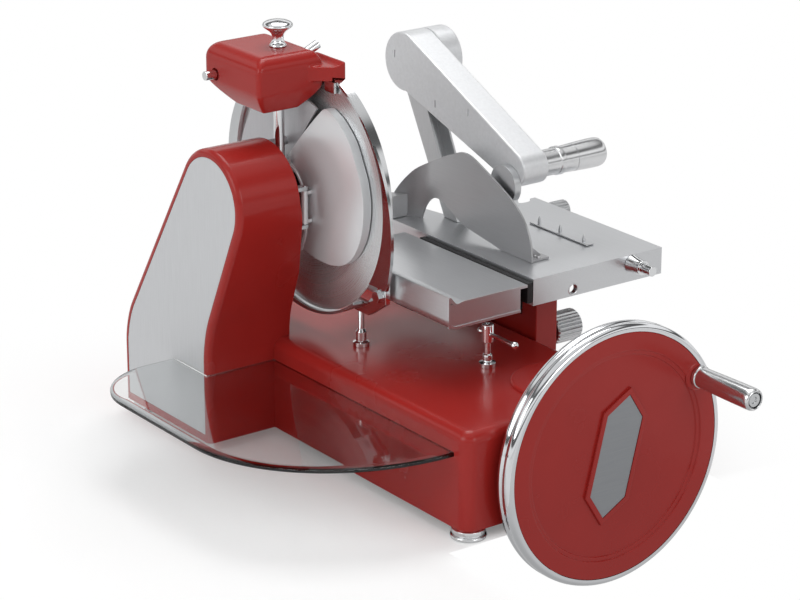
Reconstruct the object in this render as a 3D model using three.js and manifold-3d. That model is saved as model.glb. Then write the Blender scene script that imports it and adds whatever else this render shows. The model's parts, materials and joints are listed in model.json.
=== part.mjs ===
// Hand cranked meat slicer: flywheel drive, round blade, sliding meat table and press arm.
// Millimetres, +Z up. The operator stands on the -Y side and the blade's face looks to +X.
// The origin is the middle of the underside of the front left foot.

import * as THREE from 'three';
import { mergeVertices } from 'three/addons/utils/BufferGeometryUtils.js';
import Module from 'manifold-3d';

const wasm = await Module();
wasm.setup();

// Clearances: between fixed pieces, between moving pieces, and what a cut runs past a face
const gap = 0.3;
const running = 1;
const past = 4;

// Facets of round pieces
const facets = { wheel: 60, blade: 72, guard: 90, hub: 40, large: 36, round: 32, knob: 28, rod: 24, pin: 20,
  small: 16 };

// Base, tower, tray and feet
const base = {
  left: -16, right: 242, front: -16, rear: 556, bottom: 12, top: 130,
  corner: 16.5, fillet: 14, wall: 6, roof: 7,
};
const bulge = { x: 173, halfWidth: 60, front: -11, centre: 50, rise: 4, fillet: 3, root: 10 };
const cover = { thickness: 3, corner: 10 };
const foot = { radius: 21, neck: 17.5, upper: 19.5, lowerTop: 5, upperFoot: 6.5, edge: 1.2 };
const feet = {
  foot_front_left: [0, 0],
  foot_front_right: [226, 0],
  foot_rear_left: [-88, 536],
  foot_rear_right: [226, 540],
};
const tower = {
  left: -110, front: 364, rear: 556, knee: 145, kink: 121, topY: 353, topZ: 320, topRadius: 64,
  edge: 7, rebate: 9, rebateDepth: 2.8, plate: 2.5, wall: 14, side: 8,
};
const towerRight = [[6, 130], [-2, 221], [-26, 320], [-30, 400]];
const tray = {
  top: 103, thickness: 5, groove: 3, edge: 1, frontY: 7, left: -236, sideY: 195, cornerY: 354, rearY: 442,
};

// Flywheel and crank
const wheel = {
  x: 173, z: 70, front: -50, back: -28, discRadius: 148, border: 21, fieldDepth: 4, fieldRamp: 2,
  fieldLip: 1, web: 8, hubRadius: 30, hubEnd: -22, draft: 6, backBorder: 14,
};
const rim = { back: -26, width: 9, soft: 4, groove: 9, grooveWidth: 6, grooveDepth: 1.5 };
const badge = { halfWidth: 27, halfHeight: 74, point: 26, proud: 3.6, sunk: 0.8, frame: 6, tilt: -14 };
const shaft = { radius: 12, front: -42 };
const crank = {
  fromEdge: 9, angle: 31, pin: 6, root: -38, tip: -145, head: 8.5, headDepth: 4, chamfer: 1.5,
  start: -52, end: -146, recess: 10, recessDepth: 7,
};
// Distance from the wheel's end and radius along the crank grip
const crankLine = [[0, 11.2], [2, 12.2], [28, 12.8], [60, 13.5], [88, 13.5], [92.5, 12.9], [94, 11.5]];

// Drive inside the base and the tower
const cross = { y: 470, radius: 8, left: -98, right: 221, sleeveIn: 18, sleeveOut: 2 };
const bevel = {
  gearRadius: 36, pinionRadius: 18, face: 10, gearFace: 5, relief: 0.8, teeth: 24, toothDepth: 1.6, tail: 9,
};
const chain = { inner: 19, outer: 24, width: 6, blade: -92, rootDrop: 3, tooth: 2, teeth: 18, steps: 14 };
const loop = { x: 214, front: 270, inner: 20.5, outer: 25, support: 17, stub: 10 };
const bearing = { wallRadius: 20, length: 28, collar: 6, collarWidth: 6.7, blockHalf: 15,
  blockThickness: 16 };
const cradle = { left: 30, right: 212, front: 252, rear: 488, thickness: 5, crossX: 42, behindGear: 30 };

// Blade group
const blade = {
  y: 367, z: 310, radius: 150, band: 32, edge: 42, riseX: 34, hub: 60, hubX: 27, thickness: 3.2, tip: 0.6,
  bore: 12, shaftLeft: -98, flange: 28, flangeStart: 12, capRadius: 22, capEnd: 39, capSlope: 3, capTop: 16,
};
const bladeTop = blade.z + blade.radius;
const bladeRise = blade.radius - blade.band;
const sleeve = { outer: 22, left: -72, right: 8 };

// Guards round the blade, most of them given from the blade's centre and its edge
const ring = {
  y: blade.y + 13, z: blade.z - 27, play: 1.5, width: 29.5, left: 38, right: 50, topY: 322, drop: 61, cut: 60,
  thin: 3.5,
};
const ringInner = blade.radius + ring.play;
const ringOuter = ringInner + ring.width;
const rearGuard = { left: 36.3, right: 49, standoffOut: 9, standoffDrop: 30, standoffRadius: 7 };
// Angle round the blade and how far the rear guard reaches past the blade's edge
const rearGuardLine = [
  [93, 5], [80, 6.5], [60, 10], [45, 13], [32, 16], [12, 20], [-10, 21], [-30, 19], [-50, 14],
  [-70, 9], [-90, 6], [-110, 5], [-128, 5],
];
const bladeCover = { over: 1, left: 19.5, right: 22, fromDeg: 12, toDeg: 113, hole: 32, boss: 5, root: -55 };
const coverBosses = [[402, 336], [386, 366]];
const coverCorner = { y: 383, z: 339.5 };
const deflectorOutline = [
  [371, 350], [320, 412], [309, 421], [290, 414], [275, 403], [262, 390], [252, 373], [240, 347],
  [235, 318], [239, 287], [249, 264], [262, 248], [278, 238], [300, 234], [325, 236], [349, 242],
  [339, 258], [332, 276], [331, 296], [335, 320], [347, 336],
];
const deflector = { y: 346, z: 318, dome: 12, domeRadius: 115, reach: 132, left: 14, thickness: 1.6,
  steps: 6 };
const hinge = { x: 2, y: 322, radius: 3, bottom: 277, top: 329, lug: 5, lugHalf: 8, knuckle: 5.6, root: -40 };

// Guard support on the base
const post = {
  x: 55, y: 283, flange: 10, flangeHeight: 5, shoulder: 2, collar: 6.5, collarTop: 22, taper: 4, stem: 3.8,
  stemTop: 183,
};
const bracket = { left: 50.4, right: 57 };
const bracketOutline = [
  [290, 175], [290, 190], [264, 190], [243, 214], [243, 233], [227, 233], [227, 198], [262, 175],
];
const clampKnob = { y: 236, z: 207, radius: 7.5, stem: 3, grip: 5, head: 8 };

// Sharpener, whose heights follow the top of the blade
const rod = { x: 0, y: 370, radius: 6.5, bottom: 334, top: bladeTop - 2 };
const rodBracket = { left: -40, right: 8.5, front: 358, rear: 382, height: 18 };
const headTop = { left: -38, right: 20, front: 343, rear: 430, z: bladeTop + 26 };
const headShoulder = { left: -55, right: 35.5, front: 328, rear: 446, z: bladeTop + 10 };
const headLow = { ...headShoulder, z: bladeTop - 16 };
const headFoot = { left: -42, right: 6, front: 338, rear: 398, z: bladeTop - 40.5 };
const nose = {
  left: 15, right: 52, front: 308, rear: 366, bottom: bladeTop - 9, top: bladeTop + 14, stepX: 38,
    stepRise: 7,
  stepRadius: 13, stepLength: 26,
};
const knob = { shiftX: 2, shiftY: 3 };
// Height above its seat and radius along the sharpener's knob
const knobLine = [
  [0, 10], [2, 10], [6, 7], [14, 7], [18, 11], [22, 16], [25, 18], [28, 16], [31, 9], [32, 0],
];
const stub = { x: 24, y: 350, z: bladeTop + 19, radius: 5.5, length: 20, depth: 10, tilt: 66 };
const axle = { y: 420, z: bladeTop - 9, radius: 5.5, length: 15, seat: 8, bore: 20 };
const clip = { left: 34.5, front: 306, rear: 326, drop: 13 };
const stone = { y: 341, z: bladeTop - 5, radius: 10, left: 43.4, right: 49, spindle: 3, end: 60 };
const bladeSlot = { left: 36, right: 51, clearance: 6.5 };

// Carriage
const wall = {
  left: 242.3, right: 275, front: 185, rear: 556, bottom: 14, top: 150, crown: 186, crownWidth: 27,
    railEnd: 8,
};
const wallSlot = { bottom: 62, top: 78, front: 226, rear: 514 };
const rail = { x: 258.6, z: 168, radius: 8 };
const saddle = { front: 216, rear: 276, left: 244, right: 273, bottom: 155, top: 183 };
const crossBar = { left: 90, right: 366, front: 228, rear: 262, bottom: 182, top: 195.6 };
const leg = { left: 276.5, right: 284.5, front: 232, rear: 260, bottom: 58 };
const drivePin = { y: 246, z: 70, radius: 5, left: 224, right: 292, head: 8 };
const gauge = { front: 119, rear: 360 };
const gaugeOutline = [
  [61, 208], [64, 200], [70, 196], [166, 196], [166, 205], [77, 205], [77, 224], [175.6, 224], [175.6, 228],
  [85.5, 228], [79.5, 226.5], [69, 236], [63, 236], [61, 233],
];
const strip = { left: 176, right: 183.6, front: 119.5, rear: 330, bottom: 204, top: 229 };

// Meat table and what stands on it
const table = {
  left: 184, right: 381, front: 119, rear: 362, tail: 415, tailRight: 250, tailSlope: 10, top: 233,
    bottom: 200,
  skin: 6, roof: 4, notchX: 360, notchHalf: 13, notchDepth: 9, notchEdge: 4,
};
const gib = { left: 196, right: 252, thickness: 5, bottom: 187 };
const feed = {
  y: 330, z: 222, radius: 6, left: 232, nutLeft: 345, nutRight: 360, half: 12, knobLength: 23,
    knobRadius: 12.5,
  ribDepth: 1.4, ribs: 18,
};
const release = {
  x: 334, z: 222, radius: 6, hub: 9, boss: 11, bossEnd: 108, hubEnd: 98, tip: 81, inner: 136,
};
const portHole = { x: 244, z: 208.6, radius: 5.5 };
const guardFoot = 163;
const guardOutline = [
  [419, 234], [419, 240], [397, 287], [382, 300], [317, 332], [299, 336.5], [281, 334.6], [254, 323],
  [219, 308], [195, 296], [179, 279], [166, 258.5], [164, 234],
];
const archOutline = [
  [376, 239], [367, 257], [357, 264], [341, 265], [290, 243.5], [290, 239],
];
const guardPlate = { left: 217.5, thickness: 2.5, bendY: 362, endX: 189, endY: 419, height: 340.5, steps: 8 };
const guardBlock = { left: 184, right: 210, front: 396, rear: 414, top: 262 };
const spikes = { x: 315, ys: [186, 231, 271], height: 12, radius: 2.2, strip: 2, half: 6, margin: 12,
  facets: 10 };
const toe = { x: 219, y: 166, width: 26, depth: 14, height: 22, thickness: 2.5 };
const arm = {
  left: 234, right: 272, skin: 3, pivotY: 445, pivotZ: 415, pivotRadius: 37, endY: 222, endZ: 331,
    endRadius: 21,
  wedgeReach: 89, wedgeFrom: 210, wedgeTo: 332, hubEnd: 301,
};
const upright = { left: 240, right: 266, footY: 352, width: 24, pivotRadius: 17, pin: 6, skin: 3 };
const uprightChannel = [[318.5, 237.3], [361.5, 237.3], [421, 359], [375, 359]];
// Distance from the arm and radius along the arm's grip
const gripLine = [
  [0, 12.5], [23.7, 12.5], [23.7, 17], [30.7, 17], [31.7, 15.5], [73.7, 18], [87.7, 17.5], [93.7, 13],
];
const press = { left: 224.5, right: 233.6, y: 230, z: 312, radius: 24, root: 1, teeth: 7, tooth: 7,
  fromDeg: 220, spanDeg: 100 };

// Knobs beside the table
const thickness = {
  y: 202, z: 126, radius: 19.5, left: 277.5, right: 315, spindle: 6, root: 248, ribDepth: 1.8, ribs: 24,
};
const lever = {
  x: 134, y: 140, bottom: 160, top: 183, barrel: 7, edge: 1, socket: 3.5, socketDepth: 4, rodZ: 171,
  rodRadius: 2.6, rodFront: 90, rodRear: 152, rodBall: 4.6,
};
// Height above the base's top and radius along the lever's post
const leverPostLine = [
  [0, 10], [5, 10], [6, 4], [6.2, 4], [6.7, 5.5], [10.7, 6.5], [14.7, 5.5], [16.2, 4], [29.4, 4],
];

// Colours, roughness and metalness
const surfaces = {
  redPaint: [0xa5302b, 0.2, 0.05],
  silverPaint: [0xc8cbce, 0.35, 0.35],
  aluminium: [0xb4b8bb, 0.38, 0.9],
  steel: [0xa9adb0, 0.3, 1],
  chrome: [0xd9dcde, 0.08, 1],
  darkSteel: [0x55595c, 0.45, 0.9],
  cast: [0x4a4d50, 0.6, 0.6],
  bronze: [0xa87e3f, 0.4, 0.9],
  black: [0x161616, 0.6, 0],
  glass: [0x9aa4a6, 0.03, 0],
  stoneGrey: [0x8c8479, 0.9, 0],
};

const group = new THREE.Group();
group.name = 'meat_slicer';

// Solids

const radians = (degrees) => (degrees * Math.PI) / 180;

function solidOf(geometry) {
  const plain = geometry.clone();
  plain.deleteAttribute('normal');
  plain.deleteAttribute('uv');
  const merged = mergeVertices(plain, 1e-4);
  const points = merged.getAttribute('position').array;
  const order = merged.index.array;
  const faces = [];
  let volume = 0;
  const a = new THREE.Vector3();
  const b = new THREE.Vector3();
  const c = new THREE.Vector3();
  for (let i = 0; i < order.length; i += 3) {
    const [p, q, r] = [order[i], order[i + 1], order[i + 2]];
    if (p === q || q === r || r === p) continue;
    faces.push([p, q, r]);
    a.fromArray(points, 3 * p);
    b.fromArray(points, 3 * q);
    c.fromArray(points, 3 * r);
    volume += a.dot(b.cross(c));
  }
  const triangles = faces.flatMap(([p, q, r]) => (volume > 0 ? [p, q, r] : [p, r, q]));
  return new wasm.Manifold(new wasm.Mesh({
    numProp: 3,
    vertProperties: Float32Array.from(points),
    triVerts: Uint32Array.from(triangles),
  }));
}

function addPart(name, solid, surface) {
  const mesh = solid.getMesh();
  const geometry = new THREE.BufferGeometry();
  geometry.setAttribute('position', new THREE.BufferAttribute(Float32Array.from(mesh.vertProperties), 3));
  geometry.setIndex(new THREE.BufferAttribute(Uint32Array.from(mesh.triVerts), 1));
  geometry.computeVertexNormals();
  const [color, roughness, metalness] = surfaces[surface];
  const material = new THREE.MeshStandardMaterial({ color, roughness, metalness });
  const piece = new THREE.Mesh(geometry, material);
  piece.name = name;
  group.add(piece);
  return solid;
}

const union = (solids) => solids.reduce((sum, solid) => sum.add(solid));

function box(x0, x1, y0, y1, z0, z1) {
  const geometry = new THREE.BoxGeometry(x1 - x0, y1 - y0, z1 - z0);
  geometry.translate((x0 + x1) / 2, (y0 + y1) / 2, (z0 + z1) / 2);
  return solidOf(geometry);
}

// A closed outline pushed from one end to the other, with an optional rounded edge at both ends.
function prism(points, start, end, matrix, bevelSize = 0, holes = []) {
  const shape = new THREE.Shape(points.map(([u, v]) => new THREE.Vector2(u, v)));
  for (const hole of holes) shape.holes.push(new THREE.Path(hole.map(([u, v]) => new THREE.Vector2(u, v))));
  const geometry = new THREE.ExtrudeGeometry(shape, {
    depth: end - start - 2 * bevelSize,
    bevelEnabled: bevelSize > 0,
    bevelThickness: bevelSize,
    bevelSize,
    bevelOffset: -bevelSize,
    bevelSegments: 3,
    steps: 1,
    curveSegments: 1,
  });
  geometry.translate(0, 0, start + bevelSize);
  geometry.applyMatrix4(matrix);
  return solidOf(geometry);
}

const ontoX = new THREE.Matrix4().set(0, 0, 1, 0, 1, 0, 0, 0, 0, 1, 0, 0, 0, 0, 0, 1);
const ontoY = new THREE.Matrix4().set(1, 0, 0, 0, 0, 0, -1, 0, 0, 1, 0, 0, 0, 0, 0, 1);
const ontoZ = new THREE.Matrix4();
const alongX = (yz, x0, x1, rounding, holes) => prism(yz, x0, x1, ontoX, rounding, holes);
const alongY = (xz, y0, y1, rounding, holes) => prism(xz, -y1, -y0, ontoY, rounding, holes);
const alongZ = (xy, z0, z1, rounding, holes) => prism(xy, z0, z1, ontoZ, rounding, holes);

// A profile of [place along the axis, radius] turned about an axis through a point.
const turnAxes = {
  x: new THREE.Matrix4().set(0, 1, 0, 0, 0, 0, 1, 0, 1, 0, 0, 0, 0, 0, 0, 1),
  y: new THREE.Matrix4(),
  z: new THREE.Matrix4().set(0, 0, 1, 0, 1, 0, 0, 0, 0, 1, 0, 0, 0, 0, 0, 1),
};

function turned(axis, centre, profile, segments = 32) {
  const geometry = new THREE.LatheGeometry(profile.map(([along, r]) => new THREE.Vector2(r, along)),
    segments);
  geometry.applyMatrix4(turnAxes[axis]);
  geometry.translate(...centre);
  return solidOf(geometry);
}

function rodX(y, z, radius, x0, x1, segments = 24) {
  return turned('x', [0, y, z], [[x0, 0], [x0, radius], [x1, radius], [x1, 0]], segments);
}

function rodY(x, z, radius, y0, y1, segments = 24) {
  return turned('y', [x, 0, z], [[y0, 0], [y0, radius], [y1, radius], [y1, 0]], segments);
}

function rodZ(x, y, radius, z0, z1, segments = 24) {
  return turned('z', [x, y, 0], [[z0, 0], [z0, radius], [z1, radius], [z1, 0]], segments);
}

function ringX(y, z, inner, outer, x0, x1, segments = 32) {
  return turned('x', [0, y, z], [[x0, inner], [x0, outer], [x1, outer], [x1, inner], [x0, inner]], segments);
}

function ringY(x, z, inner, outer, y0, y1, segments = 32) {
  return turned('y', [x, 0, z], [[y0, inner], [y0, outer], [y1, outer], [y1, inner], [y0, inner]], segments);
}

// Outlines

function arc(u, v, radius, from, to, steps, radiusV = radius) {
  const points = [];
  for (let i = 0; i <= steps; i += 1) {
    const angle = radians(from + ((to - from) * i) / steps);
    points.push([u + radius * Math.cos(angle), v + radiusV * Math.sin(angle)]);
  }
  return points;
}

const circle = (u, v, radius, steps = 32) => arc(u, v, radius, 0, 360 - 360 / steps, steps - 1);

function rounded(u0, u1, v0, v1, radius, steps = 5) {
  return [
    ...arc(u1 - radius, v0 + radius, radius, 270, 360, steps),
    ...arc(u1 - radius, v1 - radius, radius, 0, 90, steps),
    ...arc(u0 + radius, v1 - radius, radius, 90, 180, steps),
    ...arc(u0 + radius, v0 + radius, radius, 180, 270, steps),
  ];
}

// The angle at which a line from a point touches a circle.
function touchAngle(pu, pv, u, v, radius, side) {
  const facing = Math.atan2(pv - v, pu - u);
  const spread = Math.acos(radius / Math.hypot(pu - u, pv - v));
  return THREE.MathUtils.radToDeg(facing + side * spread);
}

// The same outline moved inward by a distance.
function inset(points, distance) {
  const count = points.length;
  const edge = (i) => {
    const [u0, v0] = points[i % count];
    const [u1, v1] = points[(i + 1) % count];
    const length = Math.hypot(u1 - u0, v1 - v0);
    return { u: u0, v: v0, du: (u1 - u0) / length, dv: (v1 - v0) / length };
  };
  return points.map((point, i) => {
    const before = edge((i + count - 1) % count);
    const after = edge(i);
    const bisectU = -before.dv - after.dv;
    const bisectV = before.du + after.du;
    const scale = distance / (1 + before.du * after.du + before.dv * after.dv);
    return [point[0] + bisectU * scale, point[1] + bisectV * scale];
  });
}

function ribbed(u, v, outer, inner, count) {
  const points = [];
  for (let i = 0; i < count; i += 1) {
    const middle = (360 * i) / count;
    const half = 360 / count / 4;
    points.push(...arc(u, v, outer, middle - half, middle + half * 0.6, 1));
    points.push(...arc(u, v, inner, middle + half * 1.1, middle + half * 2.5, 1));
  }
  return points;
}

function capsule(u0, v0, r0, u1, v1, r1, steps = 14) {
  const away = THREE.MathUtils.radToDeg(Math.atan2(v1 - v0, u1 - u0));
  const lean = THREE.MathUtils.radToDeg(Math.acos((r0 - r1) / Math.hypot(u1 - u0, v1 - v0)));
  return [
    ...arc(u0, v0, r0, away + lean, away + 360 - lean, steps),
    ...arc(u1, v1, r1, away - lean, away + lean, steps),
  ];
}

// Base

function baseShell(grow) {
  const outline = rounded(base.left - grow, base.right + grow, base.front - grow, base.rear + grow,
    base.corner + grow);
  const body = alongZ(outline, base.bottom - base.fillet - grow, base.top + grow, base.fillet + grow);
  const trim = box(base.left - past, base.right + past, base.front - past, base.rear + past,
    base.bottom - grow,
    base.top + past);
  return body.intersect(trim);
}

const baseCavity = alongZ(
  rounded(base.left + base.wall, base.right - base.wall, base.front + base.wall, base.rear - base.wall,
    cover.corner),
  base.bottom - past, base.top - base.roof);
const bulgeOutline = [
  [bulge.x - bulge.halfWidth, bulge.front], [bulge.x + bulge.halfWidth, bulge.front],
  ...arc(bulge.x, bulge.centre, bulge.halfWidth, 0, 180, 16),
];
const bulgeSolid = alongZ(bulgeOutline, base.top - bulge.root, base.top + bulge.rise, bulge.fillet);
const grooveBottom = tray.top - tray.thickness - gap;
const grooveTop = tray.top + gap;
const trayGroove = box(base.left - past, base.left + tray.groove, tray.frontY - gap, tower.front + past,
  grooveBottom, grooveTop);
const frontBore = rodY(wheel.x, wheel.z, bearing.wallRadius + gap, base.front - past,
  base.front + base.wall + past);
const crossBore = rodX(cross.y, wheel.z, bearing.wallRadius + gap, tower.left + tower.wall,
  base.left + base.wall + past);
const slotBox = (x0, x1) => box(x0, x1, wallSlot.front, wallSlot.rear, wallSlot.bottom, wallSlot.top);
addPart('base_casting', baseShell(0).add(bulgeSolid).subtract(baseCavity).subtract(trayGroove)
  .subtract(frontBore)
  .subtract(crossBore).subtract(slotBox(base.right - base.wall - past, base.right + past)), 'redPaint');

const coverInset = base.wall + gap;
const coverTop = base.bottom + cover.thickness;
addPart('base_cover', alongZ(rounded(base.left + coverInset, base.right - coverInset, base.front + coverInset,
  base.rear - coverInset, cover.corner - gap), base.bottom, coverTop), 'darkSteel');

for (const [name, [x, y]] of Object.entries(feet)) {
  const top = base.bottom - gap;
  addPart(name, turned('z', [x, y, 0], [
    [0, 0], [0, foot.radius - foot.edge], [foot.edge, foot.radius], [foot.lowerTop - foot.edge, foot.radius],
    [foot.lowerTop, foot.radius - foot.edge], [foot.lowerTop, foot.neck], [foot.upperFoot, foot.neck],
    [foot.upperFoot, foot.upper - foot.edge], [foot.upperFoot + foot.edge, foot.upper], [top, foot.upper],
      [top, 0],
  ], facets.rod), 'chrome');
}

// Tower

const towerFrontAngle = touchAngle(tower.front, tower.knee, tower.topY, tower.topZ, tower.topRadius,
  -1) + 360;
const towerRearAngle = touchAngle(tower.rear, tower.kink, tower.topY, tower.topZ, tower.topRadius, 1);
const towerOutline = [
  [tower.front, base.bottom], [tower.rear, base.bottom], [tower.rear, tower.kink],
  ...arc(tower.topY, tower.topZ, tower.topRadius, towerRearAngle, towerFrontAngle, 20),
    [tower.front, tower.knee],
];
const [towerShoulder, , towerNeck, towerPeak] = towerRight;
const towerReach = [tower.front - tower.topRadius * 2, tower.rear + past];

// Everything left of the tower's right face, with that face moved right by an offset.
const towerLimit = (offset) => alongY([
  [tower.left - past, base.bottom - past], [towerShoulder[0] + offset, base.bottom - past],
  ...towerRight.map(([x, z]) => [x + offset, z]), [tower.left - past, towerPeak[1]],
], ...towerReach);
const towerOuter = alongX(towerOutline, tower.left, towerShoulder[0] + 2 * tower.edge, tower.edge)
  .intersect(towerLimit(0)).subtract(baseShell(gap));
const towerInside = base.left - tower.side;
const towerCavity = alongX(inset(towerOutline, tower.wall), tower.left - past, towerShoulder[0])
  .intersect(alongY([
    [tower.left - past, base.bottom], [towerInside, base.bottom], [towerInside, base.top + tower.side],
    [towerShoulder[0] - tower.side, base.top + tower.side],
    ...towerRight.slice(1).map(([x, z]) => [x - tower.side, z]), [tower.left - past, towerPeak[1]],
  ], ...towerReach));
const towerRebate = alongX(inset(towerOutline, tower.rebate), tower.left - past,
  tower.left + tower.rebateDepth);
const towerGroove = box(tower.left - past, base.left + past, tower.front - past, tower.front + tray.groove,
  grooveBottom, grooveTop);
const sleeveBore = rodX(blade.y, blade.z, sleeve.outer + gap, sleeve.left, sleeve.right);
addPart('tower_housing', towerOuter.subtract(towerCavity).subtract(towerRebate).subtract(towerGroove)
  .subtract(sleeveBore).subtract(crossBore), 'redPaint');
addPart('tower_plate', alongX(inset(towerOutline, tower.rebate + gap), tower.left,
  tower.left + tower.plate), 'silverPaint');

// Slice tray

const trayRight = base.left + tray.groove - gap;
const traySide = tower.left - gap;
const trayFrontWall = tower.front + tray.groove - gap;
const trayCorner = tray.rearY - tray.cornerY;
addPart('slice_tray', alongZ([
  [trayRight, tray.frontY], [trayRight, trayFrontWall], [traySide, trayFrontWall], [traySide, tray.rearY],
  ...arc(tray.left + trayCorner, tray.cornerY, trayCorner, 90, 180, 10),
  ...arc(base.left, tray.sideY, base.left - tray.left, 180, 270, 28, tray.sideY - tray.frontY),
], tray.top - tray.thickness, tray.top, tray.edge), 'glass');

// Flywheel

const wheelCentre = [wheel.x, 0, wheel.z];
const fieldY = wheel.front + wheel.fieldDepth;
const webBack = fieldY + wheel.web;
const crankReach = wheel.discRadius - crank.fromEdge;
const pinX = wheel.x + crankReach * Math.cos(radians(crank.angle));
const pinZ = wheel.z + crankReach * Math.sin(radians(crank.angle));
const fieldRadius = wheel.discRadius - wheel.border;
const backRadius = wheel.discRadius - wheel.backBorder;
const wheelBore = shaft.radius + gap;
const discProfile = [
  [fieldY, wheelBore], [fieldY, fieldRadius - wheel.fieldRamp],
  [wheel.front + wheel.fieldLip, fieldRadius + wheel.fieldLip],
  [wheel.front, fieldRadius + wheel.fieldRamp + wheel.fieldLip], [wheel.front, wheel.discRadius],
  [wheel.back, wheel.discRadius], [wheel.back, backRadius], [webBack, backRadius - wheel.draft],
  [webBack, wheel.hubRadius + wheel.draft], [wheel.hubEnd, wheel.hubRadius], [wheel.hubEnd, wheelBore],
  [fieldY, wheelBore],
];
const pinBore = rodY(pinX, pinZ, crank.pin + gap, wheel.front - past, crank.root + gap);

// The rim's corners are rounded in two steps, and a groove runs round its tread.
const rimInner = wheel.discRadius + gap;
const rimRadius = wheel.discRadius + rim.width;
const cornerCut = rim.soft * (1 - Math.SQRT1_2);
const grooveFrom = wheel.front + rim.groove;
const grooveTo = grooveFrom + rim.grooveWidth;
addPart('flywheel_rim', turned('y', wheelCentre, [
  [wheel.front, rimInner], [wheel.front, rimRadius - rim.soft],
  [wheel.front + cornerCut, rimRadius - cornerCut], [wheel.front + rim.soft, rimRadius],
  [grooveFrom, rimRadius], [grooveFrom + rim.grooveDepth, rimRadius - rim.grooveDepth],
  [grooveTo - rim.grooveDepth, rimRadius - rim.grooveDepth], [grooveTo, rimRadius],
  [rim.back - rim.soft, rimRadius], [rim.back - cornerCut, rimRadius - cornerCut],
  [rim.back, rimRadius - rim.soft], [rim.back, rimInner], [wheel.front, rimInner],
], facets.wheel), 'chrome');

const badgeStraight = badge.halfHeight - badge.point;
const badgeOutline = [
  [badge.halfWidth, -badgeStraight], [badge.halfWidth, badgeStraight], [0, badge.halfHeight],
  [-badge.halfWidth, badgeStraight], [-badge.halfWidth, -badgeStraight], [0, -badge.halfHeight],
].map(([u, v]) => {
  const [cos, sin] = [Math.cos(radians(badge.tilt)), Math.sin(radians(badge.tilt))];
  return [wheel.x + u * cos - v * sin, wheel.z + u * sin + v * cos];
});
const badgeFrame = alongY(inset(badgeOutline, -badge.frame), fieldY - badge.proud, fieldY + running, 0,
  [badgeOutline]);
addPart('flywheel_disc', turned('y', wheelCentre, discProfile, facets.wheel).add(badgeFrame)
  .subtract(pinBore),
  'redPaint');
addPart('wheel_badge', alongY(inset(badgeOutline, gap), fieldY - badge.proud + badge.sunk, fieldY - gap),
  'silverPaint');

// A cone with shallow teeth; its small end looks to where the two axes cross.
function bevelBlank(axis, centre, wide, narrow, bore, from, to, teeth) {
  const cone = turned(axis, centre, [[from, bore], [from, wide], [to, narrow], [to, bore], [from, bore]],
    teeth * 2);
  const length = Math.abs(to - from);
  const slope = Math.atan2(wide - narrow, length) * Math.sign(to - from);
  const halfWidth = (Math.PI * wide) / teeth / 4;
  let gear = cone;
  for (let i = 0; i < teeth; i += 1) {
    const slot = new THREE.BoxGeometry(halfWidth * 2, length + 2 * past, 2 * bevel.toothDepth);
    slot.rotateX(-slope);
    slot.translate(0, (from + to) / 2, (wide + narrow) / 2);
    slot.rotateY(radians((360 * (i + 0.5)) / teeth));
    slot.applyMatrix4(turnAxes[axis]);
    slot.translate(...centre);
    gear = gear.subtract(solidOf(slot));
  }
  return gear;
}

const gearFront = cross.y - bevel.pinionRadius - bevel.relief - bevel.face;
const gearWide = bevel.gearRadius - bevel.relief;
const gearNarrow = gearWide - (bevel.gearFace * bevel.gearRadius) / bevel.pinionRadius;
addPart('flywheel_shaft', rodY(wheel.x, wheel.z, shaft.radius, shaft.front, gearFront + bevel.tail)
  .add(bevelBlank('y', wheelCentre, gearWide, gearNarrow, shaft.radius - running, gearFront,
    gearFront + bevel.gearFace, bevel.teeth)), 'steel');
const pinionFar = wheel.x - bevel.gearRadius;
const pinionWide = bevel.pinionRadius - bevel.relief;
const pinionNarrow = pinionWide - (bevel.face * bevel.pinionRadius) / bevel.gearRadius;
const pinion = bevelBlank('x', [0, cross.y, wheel.z], pinionWide, pinionNarrow, cross.radius - running,
  pinionFar,
  pinionFar + bevel.face, bevel.teeth / 2);

const pinCentre = [pinX, 0, pinZ];
const pinHead = crank.tip + crank.headDepth;
addPart('crank_pin', turned('y', pinCentre, [
  [crank.root, 0], [crank.root, crank.pin], [pinHead, crank.pin], [pinHead, crank.head],
  [crank.tip + crank.chamfer, crank.head], [crank.tip, crank.head - crank.chamfer], [crank.tip, 0],
], facets.rod), 'steel');
const gripBore = crank.pin + running;
const recessEnd = crank.end + crank.recessDepth;
addPart('crank_grip', turned('y', pinCentre, [
  [crank.start, gripBore], ...crankLine.map(([along, r]) => [crank.start - along, r]),
    [crank.end, crank.recess],
  [recessEnd, crank.recess], [recessEnd, gripBore], [crank.start, gripBore],
], facets.round), 'chrome');

// Bearings

const wallBack = base.front + base.wall;
const collarStart = wallBack + gap;
addPart('front_bearing', union([
  ringY(wheel.x, wheel.z, wheelBore, bearing.wallRadius, base.front, base.front + bearing.length),
  ringY(wheel.x, wheel.z, wheelBore, bearing.wallRadius + bearing.collar, collarStart,
    collarStart + bearing.collarWidth),
]), 'bronze');

const blockFoot = coverTop + gap;
const supportOutline = (u) => [
  [u - bearing.blockHalf, blockFoot], [u + bearing.blockHalf, blockFoot],
  ...arc(u, wheel.z, bearing.blockHalf, 0, 180, 10),
];
function bearingBlock(pushed, along, u, radius) {
  const half = bearing.blockThickness / 2;
  return pushed(supportOutline(u), along - half, along + half, 0,
    [circle(u, wheel.z, radius + gap, facets.rod)]);
}

addPart('cross_sleeve', ringX(cross.y, wheel.z, cross.radius + gap, bearing.wallRadius,
  towerInside - cross.sleeveIn, base.left + base.wall + cross.sleeveOut), 'bronze');

// Chains and their wheels

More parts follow.
